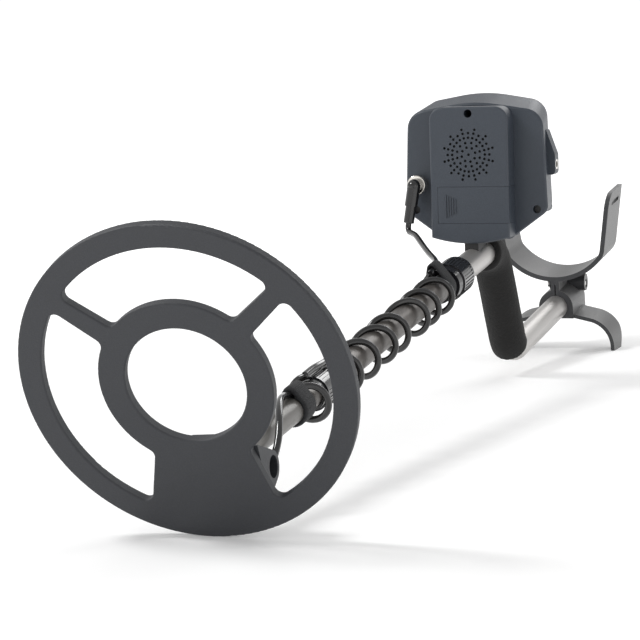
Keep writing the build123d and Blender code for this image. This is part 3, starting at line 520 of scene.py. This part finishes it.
def copper_wire(_):
    made = Finish("copper_wire", (0.55, 0.22, 0.09), 0.35, 0.9)
    turns = made.cloud(1.0, 2.0, made.stretched((1600.0, 1600.0, 1600.0)))
    made.set(
        Base_Color=made.blend(turns, (0.42, 0.16, 0.06), (0.66, 0.30, 0.13)),
        Roughness=turns * 0.2 + 0.28,
        Normal=made.bump(turns, 0.0001),
    )
    return made.material


def button_plastic(_):
    return moulded("button_plastic", (0.07, 0.075, 0.082), 0.45, 900.0, 0.0001).material


def soft_washer(_):
    return moulded("washer_rubber", (0.012, 0.012, 0.012), 0.75, 700.0, 0.0001).material


FINISHES = {
    "tube_metal": tube_metal,
    "foam": foam_finish,
    "black_plastic": black_plastic,
    "steel": steel,
    "box_plastic": box_plastic,
    "window": window_glass,
    "display": display_glass,
    "circuit_board": circuit_lacquer,
    "speaker_cone": speaker_paper,
    "cell_wrap": cell_sleeve,
    "nickel": nickel,
    "cable_rubber": cable_rubber,
    "collar_plastic": collar_plastic,
    "webbing": webbing,
    "stem_plastic": stem_plastic,
    "coil_plastic": coil_plastic,
    "copper": copper_wire,
    "washer_rubber": soft_washer,
    "button_plastic": button_plastic,
    "cuff_plastic": cuff_plastic,
    "gunmetal": gunmetal_tube,
}
OWN_FINISH = {"mid_tube": "gunmetal", "housing_screws": "black_plastic"}


def finish_of(name):
    """The finish of that name, made once"""
    key = "detector_" + name
    if key not in bpy.data.materials:
        FINISHES[name](bpy.context.scene.detector_colours).name = key
    return bpy.data.materials[key]


# ------------------------------------------------------------------ helpers for pieces
def new_piece(name, mesh, finish, body):
    """Object of a finished mesh, riding on a body when one is given"""
    piece = bpy.data.objects.new(name, mesh)
    bpy.context.scene.collection.objects.link(piece)
    mesh.materials.clear()
    mesh.materials.append(finish_of(finish))
    if body:
        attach(piece, body)
    return piece


def smooth_line(points):
    """Points along the NURBS spline that has these control points"""
    curve = bpy.data.curves.new("route", "CURVE")
    curve.dimensions = "3D"
    curve.resolution_u = 8
    spline = curve.splines.new("NURBS")
    spline.points.add(len(points) - 1)
    for place, point in zip(spline.points, points):
        place.co = (*point, 1.0)
    spline.order_u = 3
    spline.use_endpoint_u = True
    holder = bpy.data.objects.new("route", curve)
    mesh = bpy.data.meshes.new_from_object(holder)
    line = [vertex.co.copy() for vertex in mesh.vertices]
    bpy.data.objects.remove(holder)
    bpy.data.meshes.remove(mesh)
    bpy.data.curves.remove(curve)
    return line


def tube_tree():
    """Geometry Nodes: a round tube along the line it is given"""
    tree = bpy.data.node_groups.new("cable_tube", "GeometryNodeTree")
    face = tree.interface
    face.new_socket("Line", in_out="INPUT", socket_type="NodeSocketGeometry")
    face.new_socket("Radius", in_out="INPUT", socket_type="NodeSocketFloat")
    face.new_socket("Sides", in_out="INPUT", socket_type="NodeSocketInt")
    face.new_socket("Material", in_out="INPUT", socket_type="NodeSocketMaterial")
    face.new_socket("Tube", in_out="OUTPUT", socket_type="NodeSocketGeometry")
    nodes, links = tree.nodes, tree.links
    given = nodes.new("NodeGroupInput")
    result = nodes.new("NodeGroupOutput")
    line = nodes.new("GeometryNodeMeshToCurve")
    ring = nodes.new("GeometryNodeCurvePrimitiveCircle")
    sweep = nodes.new("GeometryNodeCurveToMesh")
    smooth = nodes.new("GeometryNodeSetShadeSmooth")
    paint = nodes.new("GeometryNodeSetMaterial")
    real = nodes.new("GeometryNodeRealizeInstances")
    sweep.inputs["Fill Caps"].default_value = True
    links.new(given.outputs["Line"], line.inputs["Mesh"])
    links.new(given.outputs["Sides"], ring.inputs["Resolution"])
    links.new(given.outputs["Radius"], ring.inputs["Radius"])
    links.new(line.outputs["Curve"], sweep.inputs["Curve"])
    links.new(ring.outputs["Curve"], sweep.inputs["Profile Curve"])
    links.new(sweep.outputs["Mesh"], smooth.inputs["Geometry"])
    links.new(smooth.outputs["Geometry"], real.inputs["Geometry"])
    links.new(real.outputs["Geometry"], paint.inputs["Geometry"])
    links.new(given.outputs["Material"], paint.inputs["Material"])
    links.new(paint.outputs["Geometry"], result.inputs["Tube"])
    return tree


def repeat_tree():
    """Geometry Nodes: copies of a small bar, stood at every point of a line of directions"""
    tree = bpy.data.node_groups.new("repeated_ribs", "GeometryNodeTree")
    face = tree.interface
    face.new_socket("Places", in_out="INPUT", socket_type="NodeSocketGeometry")
    face.new_socket("Rib", in_out="INPUT", socket_type="NodeSocketObject")
    face.new_socket("Material", in_out="INPUT", socket_type="NodeSocketMaterial")
    face.new_socket("Ribs", in_out="OUTPUT", socket_type="NodeSocketGeometry")
    nodes, links = tree.nodes, tree.links
    given = nodes.new("NodeGroupInput")
    result = nodes.new("NodeGroupOutput")
    rib = nodes.new("GeometryNodeObjectInfo")
    turned = nodes.new("GeometryNodeInputNamedAttribute")
    copies = nodes.new("GeometryNodeInstanceOnPoints")
    real = nodes.new("GeometryNodeRealizeInstances")
    paint = nodes.new("GeometryNodeSetMaterial")
    turned.data_type = "FLOAT_VECTOR"
    turned.inputs["Name"].default_value = "turn"
    links.new(given.outputs["Places"], copies.inputs["Points"])
    links.new(given.outputs["Rib"], rib.inputs["Object"])
    links.new(rib.outputs["Geometry"], copies.inputs["Instance"])
    links.new(turned.outputs["Attribute"], copies.inputs["Rotation"])
    links.new(copies.outputs["Instances"], real.inputs["Geometry"])
    links.new(real.outputs["Geometry"], paint.inputs["Geometry"])
    links.new(given.outputs["Material"], paint.inputs["Material"])
    links.new(paint.outputs["Geometry"], result.inputs["Ribs"])
    return tree


def tree_of(name, maker):
    """Node tree made once"""
    return bpy.data.node_groups.get(name) or maker()


def run_tree(tree, mesh, inputs):
    """The plain mesh that a node tree makes from a mesh"""
    holder = bpy.data.objects.new("holder", mesh)
    bpy.context.scene.collection.objects.link(holder)
    modifier = holder.modifiers.new("nodes", "NODES")
    modifier.node_group = tree
    for item in tree.interface.items_tree:
        if item.in_out == "INPUT" and item.name in inputs:
            modifier[item.identifier] = inputs[item.name]
    bpy.context.view_layer.update()
    seen = holder.evaluated_get(bpy.context.evaluated_depsgraph_get())
    made = bpy.data.meshes.new_from_object(seen)
    holder.modifiers.remove(modifier)
    bpy.data.objects.remove(holder)
    return made


def cable_piece(name, points):
    """Cable mesh along a route, and the line it follows"""
    sizes = bpy.context.scene.detector_sizes
    line = smooth_line(points)
    mesh = bpy.data.meshes.new(name + "_line")
    mesh.from_pydata(line, [(i, i + 1) for i in range(len(line) - 1)], [])
    tube = run_tree(
        tree_of("cable_tube", tube_tree),
        mesh,
        {"Radius": sizes.cable_radius, "Sides": 20, "Material": finish_of("cable_rubber")},
    )
    tube.name = name
    return new_piece(name, tube, "cable_rubber", None), line


def run_length(line):
    return sum((b - a).length for a, b in zip(line, line[1:]))


# ------------------------------------------------------------------ the cable's routes
TO_STEM = [
    (733.0, -17.2, 8.0),
    (719.0, -16.8, 13.8),
    (705.5, -13.6, 16.4),
    (695.0, -7.4, 16.6),
    (686.0, 1.0, 16.4),
    (676.0, 9.6, 14.0),
    (661.5, 16.6, 9.0),
    (642.0, 19.0, 3.4),
    (623.0, 16.0, -0.3),
]
LOWER_CABLE_LIFT = 13.35
LINK = [(555.0, 18.9, -1.4), (543.0, 19.3, 0.6), (531.0, 18.7, 1.5)]
TO_BOX = [
    (79.5, 31.0, -54.6),
    (89.0, 30.0, -48.4),
    (107.0, 26.2, -38.2),
    (131.0, 22.9, -25.0),
    (153.0, 20.9, -11.9),
    (171.0, 20.9, -5.5),
    (187.0, 19.9, -4.1),
]
TURN_REACHES = (514.0, 487.0, 439.0, 388.0, 350.0, 288.0, 252.0, 206.5)
HANG_SIDE = 1.9  # the loose turns hang to one side of the pole and below it
HANG_LIFT = -1.8


def coil_to_stem_route():
    """From the gland, round the hinge, through the lower strap and once round the stem"""
    points = [GLAND_MOUTH, GLAND_MOUTH + GLAND_WAY * 0.011]
    points += [beside_pole(*place) for place in TO_STEM]
    points.append(beside_pole(610.0, LOWER_CABLE_LIFT, 0.0, STEM_TURN))
    points.append(beside_pole(588.0, LOWER_CABLE_LIFT + 0.6, 0.3, STEM_TURN))
    for index in range(1, 13):
        share = index / 12
        angle = math.radians(90.0 - 30.0 * index)
        hang = math.sin(math.pi * share)
        radius = 14.6 + 2.8 * min(1.0, 3.2 * share)
        reach = 567.0 + 17.5 * math.exp(-5.7 * share)
        lift = radius * math.sin(angle) + HANG_LIFT * hang
        points.append(beside_pole(reach, lift, radius * math.cos(angle) + HANG_SIDE * hang))
    points.append(beside_pole(566.4, 18.0, -2.0))
    return points


def turns_route(radius):
    """Over the lower collar, then the loose turns round the middle tube"""
    points = [beside_pole(566.4, 18.0, -2.0)]
    points += [beside_pole(*place) for place in LINK]
    points.append(beside_pole(519.5, 17.6, 1.0))
    reach = 515.0
    steps = 14
    for turn, (near, far) in enumerate(zip(TURN_REACHES, TURN_REACHES[1:])):
        swell = 0.35 * math.sin(2.3 * turn + 0.6)
        for index in range(steps):
            share = index / steps
            angle = -2 * math.pi * share
            reach = near + (far - near) * (share - 0.9 * math.sin(2 * math.pi * share) / (2 * math.pi))
            wide = radius * 1000 + swell * math.sin(angle)
            lift = wide * math.sin(angle) + HANG_LIFT
            points.append(beside_pole(reach, lift, wide * math.cos(angle) + HANG_SIDE))
    for index in range(9):
        angle = -2 * math.pi * index / 12
        reach = TURN_REACHES[-1] - 0.7 * index
        lift = radius * 1000 * math.sin(angle) + HANG_LIFT
        points.append(beside_pole(reach, lift, radius * 1000 * math.cos(angle) + HANG_SIDE))
    points.append(beside_pole(200.8, 18.0, -3.5))
    return points


def box_lead_route():
    """From the plug's boot, through the upper strap, to the last turn"""
    points = [BOOT_END, BOOT_END + BOOT_WAY * 0.008]
    points += [beside_pole(*place) for place in TO_BOX]
    points.append(beside_pole(200.8, 18.0, -3.5))
    return points


# ------------------------------------------------------------------ straps
def hull_outline(tube, cable_side, cable_lift, cable, gap, count=150):
    """Closed outline round a tube and the cable beside it, as (side, lift) pairs in millimetres"""
    ring = []
    for centre, radius in (((0.0, 0.0), tube + gap), ((cable_side, cable_lift), cable + gap)):
        for index in range(120):
            angle = 2 * math.pi * index / 120
            ring.append((centre[0] + radius * math.cos(angle), centre[1] + radius * math.sin(angle)))
    ring.sort()

    def half(points):
        kept = []
        for point in points:
            while len(kept) > 1 and (
                (kept[-1][0] - kept[-2][0]) * (point[1] - kept[-2][1])
                - (kept[-1][1] - kept[-2][1]) * (point[0] - kept[-2][0])
            ) <= 0:
                kept.pop()
            kept.append(point)
        return kept[:-1]

    outline = half(ring) + half(ring[::-1])
    lengths = [0.0]
    for a, b in zip(outline, outline[1:] + outline[:1]):
        lengths.append(lengths[-1] + math.dist(a, b))
    total = lengths[-1]
    even = []
    spot = 0
    for index in range(count):
        want = total * index / count
        while lengths[spot + 1] < want:
            spot += 1
        a = outline[spot]
        b = outline[(spot + 1) % len(outline)]
        share = (want - lengths[spot]) / (lengths[spot + 1] - lengths[spot])
        even.append((a[0] + (b[0] - a[0]) * share, a[1] + (b[1] - a[1]) * share))
    return even, total


STRAP_CABLE = 2.9
STRAP_GAP = 0.12
# reach, width, tube radius, cable's spot and thickness, in millimetres
UPPER_STRAP = (171.8, 19.4, 11.5, (-4.8, 20.4), 1.9)
LOWER_STRAP = (586.8, 24.4, 10.4, (0.0, LOWER_CABLE_LIFT), 3.1)
STRAP_PROFILE = (
    (0.0, 0.0),
    (0.0, 0.6),
    (0.03, 0.9),
    (0.1, 1.0),
    (0.5, 1.04),
    (0.9, 1.0),
    (0.97, 0.9),
    (1.0, 0.6),
    (1.0, 0.0),
)


def strap_mesh(name, start, width, tube, spot, thick, turn=0.0):
    """Band with rolled edges round a tube and the cable beside it"""
    inner, _ = hull_outline(tube, spot[0], spot[1], STRAP_CABLE, STRAP_GAP)
    outer, around = hull_outline(tube, spot[0], spot[1], STRAP_CABLE, thick)
    mesh = bmesh.new()
    rows = []
    count = len(outer)
    for share, level in STRAP_PROFILE:
        row = []
        for a, b in zip(inner, outer):
            side = a[0] + (b[0] - a[0]) * level
            lift = a[1] + (b[1] - a[1]) * level
            row.append(mesh.verts.new(beside_pole(start + width * share, lift, side, turn)))
        rows.append(row)
    rows.append(rows[0])
    for first, second in zip(rows, rows[1:]):
        for index in range(count):
            nxt = (index + 1) % count
            mesh.faces.new((first[index], first[nxt], second[nxt], second[index]))
    made = bpy.data.meshes.new(name)
    bmesh.ops.recalc_face_normals(mesh, faces=mesh.faces)
    mesh.to_mesh(made)
    mesh.free()
    made.shade_smooth()
    return made, outer, around


def rib_mesh(length, width, height):
    """One rounded rib, lying along X"""
    mesh = bmesh.new()
    rows = []
    for place, share in ((-0.5, 0.25), (-0.46, 0.8), (0.46, 0.8), (0.5, 0.25)):
        row = []
        for index in range(7):
            angle = math.pi * index / 6
            row.append(
                mesh.verts.new(
                    (
                        place * length,
                        0.5 * width * share * math.cos(angle) / 0.8,
                        height * share * math.sin(angle),
                    )
                )
            )
        rows.append(row)
    for first, second in zip(rows, rows[1:]):
        for index in range(6):
            mesh.faces.new((first[index], second[index], second[index + 1], first[index + 1]))
        mesh.faces.new((first[6], second[6], second[0], first[0]))
    mesh.faces.new(rows[0])
    mesh.faces.new(rows[-1][::-1])
    bmesh.ops.recalc_face_normals(mesh, faces=mesh.faces)
    made = bpy.data.meshes.new("rib")
    mesh.to_mesh(made)
    mesh.free()
    made.shade_smooth()
    return made


def repeated(places, rib, finish):
    """Copies of a rib mesh at (point, x axis, z axis) places, as one mesh"""
    mesh = bpy.data.meshes.new("places")
    mesh.from_pydata([place for place, _, _ in places], [], [])
    turns = mesh.attributes.new("turn", "FLOAT_VECTOR", "POINT")
    for index, (_, along, out) in enumerate(places):
        across = out.cross(along)
        basis = Matrix((along, across, out)).transposed()
        turns.data[index].vector = basis.to_euler()
    holder = bpy.data.objects.new("rib", rib)
    bpy.context.scene.collection.objects.link(holder)
    inputs = {"Rib": holder, "Material": finish_of(finish)}
    made = run_tree(tree_of("repeated_ribs", repeat_tree), mesh, inputs)
    bpy.data.objects.remove(holder)
    return made


def joined(meshes, name):
    """One mesh from several"""
    mesh = bmesh.new()
    for part in meshes:
        mesh.from_mesh(part)
    made = bpy.data.meshes.new(name)
    mesh.to_mesh(made)
    mesh.free()
    return made


def build_strap(name, node, body, start, width, tube, spot, thick, turn=0.0):
    """Strap with ribs, in place of its plain part"""
    sizes = bpy.context.scene.detector_sizes
    band, outer, around = strap_mesh(name, start, width, tube, spot, thick, turn)
    count = int(around / (sizes.strap_rib * 1000))
    places = []
    total = len(outer)
    for index in range(count):
        at = index * total / count
        spot_a = outer[int(at) % total]
        spot_b = outer[(int(at) + 1) % total]
        share = at - int(at)
        side = spot_a[0] + (spot_b[0] - spot_a[0]) * share
        lift = spot_a[1] + (spot_b[1] - spot_a[1]) * share
        point = beside_pole(start + width / 2, lift, side, turn)
        run = beside_pole(0, spot_b[1], spot_b[0], turn) - beside_pole(0, spot_a[1], spot_a[0], turn)
        out = run.normalized().cross(FRONT_WAY)
        if out.dot(point - beside_pole(start + width / 2, 0, 0)) < 0:
            out.negate()
        places.append((point - out * 0.0001, FRONT_WAY.copy(), out))
    rib = rib_mesh(width * 0.00088, sizes.strap_rib * 0.8, 0.00045)
    ribs = repeated(places, rib, "webbing")
    piece = new_piece(name, joined((band, ribs), name), "webbing", body)
    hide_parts(node)
    return piece


# ------------------------------------------------------------------ grip
def build_grip(cell):
    """Foam grip with its soft surface, in place of its plain part"""
    source = frame["nodes"]["foam_grip"]
    mesh = bmesh.new()
    mesh.from_mesh(source.data)
    mesh.transform(source.matrix_world)
    bmesh.ops.remove_doubles(mesh, verts=mesh.verts, dist=1e-6)
    made = bpy.data.meshes.new("grip")
    mesh.to_mesh(made)
    mesh.free()
    holder = bpy.data.objects.new("holder", made)
    bpy.context.scene.collection.objects.link(holder)
    remesh = holder.modifiers.new("even", "REMESH")
    remesh.mode = "VOXEL"
    remesh.voxel_size = 0.0011
    soften = holder.modifiers.new("soften", "SMOOTH")
    soften.iterations = 4
    soften.factor = 0.5
    bpy.context.view_layer.update()
    seen = holder.evaluated_get(bpy.context.evaluated_depsgraph_get())
    even = bpy.data.meshes.new_from_object(seen)
    bpy.data.objects.remove(holder)
    normals = [vertex.normal.copy() for vertex in even.vertices]
    for vertex, normal in zip(even.vertices, normals):
        place = vertex.co
        lump = noise.noise(place / cell) + 0.5 * noise.noise(place / (cell * 0.45))
        wave = noise.noise(place / 0.03)
        vertex.co = place + normal * (lump * 0.00009 + wave * 0.00015 - 0.0001)
    even.shade_smooth()
    piece = new_piece("foam_grip_skin", even, "foam", "pole_and_box")
    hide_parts("foam_grip")
    return piece


# ------------------------------------------------------------------ operators
class DETECTOR_OT_stage(bpy.types.Operator):
    """Floor, light and camera"""

    bl_idname = "detector.stage"
    bl_label = "Stage"

    def execute(self, context):
        floor_mesh = bpy.data.meshes.new("floor")
        reach = 30.0
        floor_mesh.from_pydata(
            [(-reach, -reach, 0), (reach, -reach, 0), (reach, reach, 0), (-reach, reach, 0)],
            [],
            [(0, 1, 2, 3)],
        )
        floor = bpy.data.objects.new("floor", floor_mesh)
        context.scene.collection.objects.link(floor)
        paper = bpy.data.materials.new("paper")
        paper.use_nodes = True
        surface = paper.node_tree.nodes["Principled BSDF"]
        surface.inputs["Base Color"].default_value = (0.93, 0.93, 0.93, 1)
        surface.inputs["Roughness"].default_value = 0.9
        surface.inputs["Specular IOR Level"].default_value = 0.1
        nodes, links = paper.node_tree.nodes, paper.node_tree.links
        place = nodes.new("ShaderNodeTexCoord")
        away = nodes.new("ShaderNodeVectorMath")
        away.operation = "LENGTH"
        # Painted light: the floor glows, faintly next to the detector and more brightly with distance, so the
        # far floor reads white while the floor near the detector stays darker
        glow = nodes.new("ShaderNodeMapRange")
        glow.inputs["From Min"].default_value = 0.7
        glow.inputs["From Max"].default_value = 2.2
        glow.inputs["To Min"].default_value = 0.13
        glow.inputs["To Max"].default_value = 0.62
        tint = nodes.new("ShaderNodeCombineColor")
        links.new(place.outputs["Object"], away.inputs[0])
        links.new(away.outputs["Value"], glow.inputs["Value"])
        for name in ("Red", "Green", "Blue"):
            links.new(glow.outputs["Result"], tint.inputs[name])
        links.new(tint.outputs["Color"], surface.inputs["Emission Color"])
        surface.inputs["Emission Strength"].default_value = 1.0
        floor_mesh.materials.append(paper)

        world = bpy.data.worlds.new("studio")
        world.use_nodes = True
        nodes, links = world.node_tree.nodes, world.node_tree.links
        backdrop = nodes["Background"]
        backdrop.inputs["Color"].default_value = (1, 1, 1, 1)
        way = nodes.new("ShaderNodeTexCoord")
        parts = nodes.new("ShaderNodeSeparateXYZ")
        dim = nodes.new("ShaderNodeMapRange")
        dim.inputs["From Min"].default_value = 0.10
        dim.inputs["From Max"].default_value = 0.35
        dim.inputs["To Min"].default_value = 1.05
        dim.inputs["To Max"].default_value = 0.66
        links.new(way.outputs["Generated"], parts.inputs[0])
        links.new(parts.outputs["Z"], dim.inputs["Value"])
        links.new(dim.outputs["Result"], backdrop.inputs["Strength"])
        context.scene.world = world
        context.scene.view_settings.view_transform = "Standard"

        def softbox(name, place, target, size, power, tint=(1, 1, 1)):
            light = bpy.data.lights.new(name, "AREA")
            light.shape = "RECTANGLE"
            light.size, light.size_y = size
            light.energy = power
            light.color = tint
            lamp = bpy.data.objects.new(name, light)
            lamp.location = place
            lamp.rotation_euler = (Vector(target) - Vector(place)).to_track_quat("-Z", "Y").to_euler()
            context.scene.collection.objects.link(lamp)

        softbox("key", (-1.5, -0.7, 1.9), (0.0, -0.1, 0.1), (0.6, 0.6), 24.0)
        softbox("fill", (1.7, -1.5, 0.9), (0.0, 0.0, 0.15), (0.7, 1.2), 2.0, (1.0, 0.97, 0.92))
        softbox("back", (0.4, 1.9, 1.4), (0.0, 0.2, 0.1), (1.4, 0.6), 10.0)

        camera = bpy.data.cameras.new("camera")
        camera.sensor_width = 36.0
        camera.lens = 145.1
        camera.clip_end = 100.0
        view = bpy.data.objects.new("camera", camera)
        right = Vector((0.94612, 0.32238, -0.03040))
        back = Vector((0.32370, -0.93911, 0.11528)).normalized()
        up = back.cross(right).normalized()
        right = up.cross(back)
        turn = Matrix((right, up, back)).transposed().to_4x4()
        view.matrix_world = Matrix.Translation((0.6810, -2.2354, 0.3716)) @ turn
        context.scene.collection.objects.link(view)
        context.scene.camera = view
        return {"FINISHED"}


class DETECTOR_OT_cable(bpy.types.Operator):
    """Cable from the coil, round the pole, to the box"""

    bl_idname = "detector.cable"
    bl_label = "Cable"

    def execute(self, context):
        sizes = context.scene.detector_sizes
        lower, line = cable_piece("cable_coil_end", coil_to_stem_route())
        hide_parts("coil_cable", "cable_stem_turns")
        beside_pole(655.0, 14.0, 6.0)
        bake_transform(lower)
        run_length(line)
        middle, turns = cable_piece("cable_turns", turns_route(sizes.turn_radius))
        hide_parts("cable_link", "cable_winding")
        link_start = beside_pole(565.0, 17.0, 0.0)
        link_end = beside_pole(524.0, 17.0, 0.0)
        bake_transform(middle)
        run_length(turns)
        lead, path = cable_piece("cable_to_box", box_lead_route())
        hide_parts("cable_lead")
        lead_start = beside_pole(74.0, 33.0, -58.0)
        lead_end = beside_pole(165.0, 20.0, -8.0)
        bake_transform(lead)
        run_length(path)
        return {"FINISHED"}


class DETECTOR_OT_finishes(bpy.types.Operator):
    """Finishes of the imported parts"""

    bl_idname = "detector.finishes"
    bl_label = "Finishes"

    def execute(self, context):
        slots = {part["node"]: part["material_slot"] for part in frame["record"]["subparts"]}
        for name, part in frame["nodes"].items():
            finish = finish_of(OWN_FINISH.get(name, slots[name]))
            for place in part.material_slots:
                place.material = finish
        return {"FINISHED"}


class DETECTOR_OT_straps(bpy.types.Operator):
    """Hook-and-loop straps that hold the cable"""

    bl_idname = "detector.straps"
    bl_label = "Straps"

    def execute(self, context):
        build_strap("upper_strap_band", "upper_strap", "mid", *UPPER_STRAP)
        build_strap("lower_strap_band", "lower_strap", "stem", *LOWER_STRAP, STEM_TURN)
        return {"FINISHED"}


class DETECTOR_OT_grip(bpy.types.Operator):
    """Foam grip"""

    bl_idname = "detector.grip"
    bl_label = "Grip"

    def execute(self, context):
        build_grip(context.scene.detector_sizes.foam_cell)
        return {"FINISHED"}


class DETECTOR_OT_knurls(bpy.types.Operator):
    """Ridges round the plug's ring"""

    bl_idname = "detector.knurls"
    bl_label = "Knurls"

    def execute(self, context):
        count = context.scene.detector_sizes.knurl_count
        places = []
        for index in range(count):
            angle = 2 * math.pi * index / count
            out = Vector((math.cos(angle), 0.0, math.sin(angle)))
            centre = Vector((SOCKET.x, SOCKET.y - 0.0075, SOCKET.z))
            places.append((centre + out * 0.00945, Vector((0.0, 1.0, 0.0)), out))
        ridges = repeated(places, rib_mesh(0.0062, 0.0009, 0.00022), "nickel")
        ridges.name = "plug_ring_knurls"
        new_piece("plug_ring_knurls", ridges, "nickel", "plug_ring")
        return {"FINISHED"}


class DETECTOR_PT_panel(bpy.types.Panel):
    """The detector's pieces"""

    bl_idname = "DETECTOR_PT_panel"
    bl_label = "Metal Detector"
    bl_space_type = "VIEW_3D"
    bl_region_type = "UI"
    bl_category = "Detector"

    def draw(self, context):
        for kind in OPERATORS:
            self.layout.operator(kind.bl_idname)
        for settings in (context.scene.detector_sizes, context.scene.detector_colours):
            box = self.layout.box()
            for name in settings.__annotations__:
                box.prop(settings, name)


OPERATORS = (
    DETECTOR_OT_stage,
    DETECTOR_OT_cable,
    DETECTOR_OT_finishes,
    DETECTOR_OT_straps,
    DETECTOR_OT_grip,
    DETECTOR_OT_knurls,
)
CLASSES = (DetectorSizes, DetectorColours, *OPERATORS, DETECTOR_PT_panel)


def register():
    for kind in CLASSES:
        bpy.utils.register_class(kind)
    bpy.types.Scene.detector_sizes = PointerProperty(type=DetectorSizes)
    bpy.types.Scene.detector_colours = PointerProperty(type=DetectorColours)


def unregister():
    del bpy.types.Scene.detector_colours
    del bpy.types.Scene.detector_sizes
    for kind in reversed(CLASSES):
        bpy.utils.unregister_class(kind)


def main():
    register()
    bpy.ops.detector.stage()
    bpy.ops.detector.cable()
    bpy.ops.detector.finishes()
    bpy.ops.detector.straps()
    bpy.ops.detector.grip()
    bpy.ops.detector.knurls()


if __name__ == "__main__":
    main()
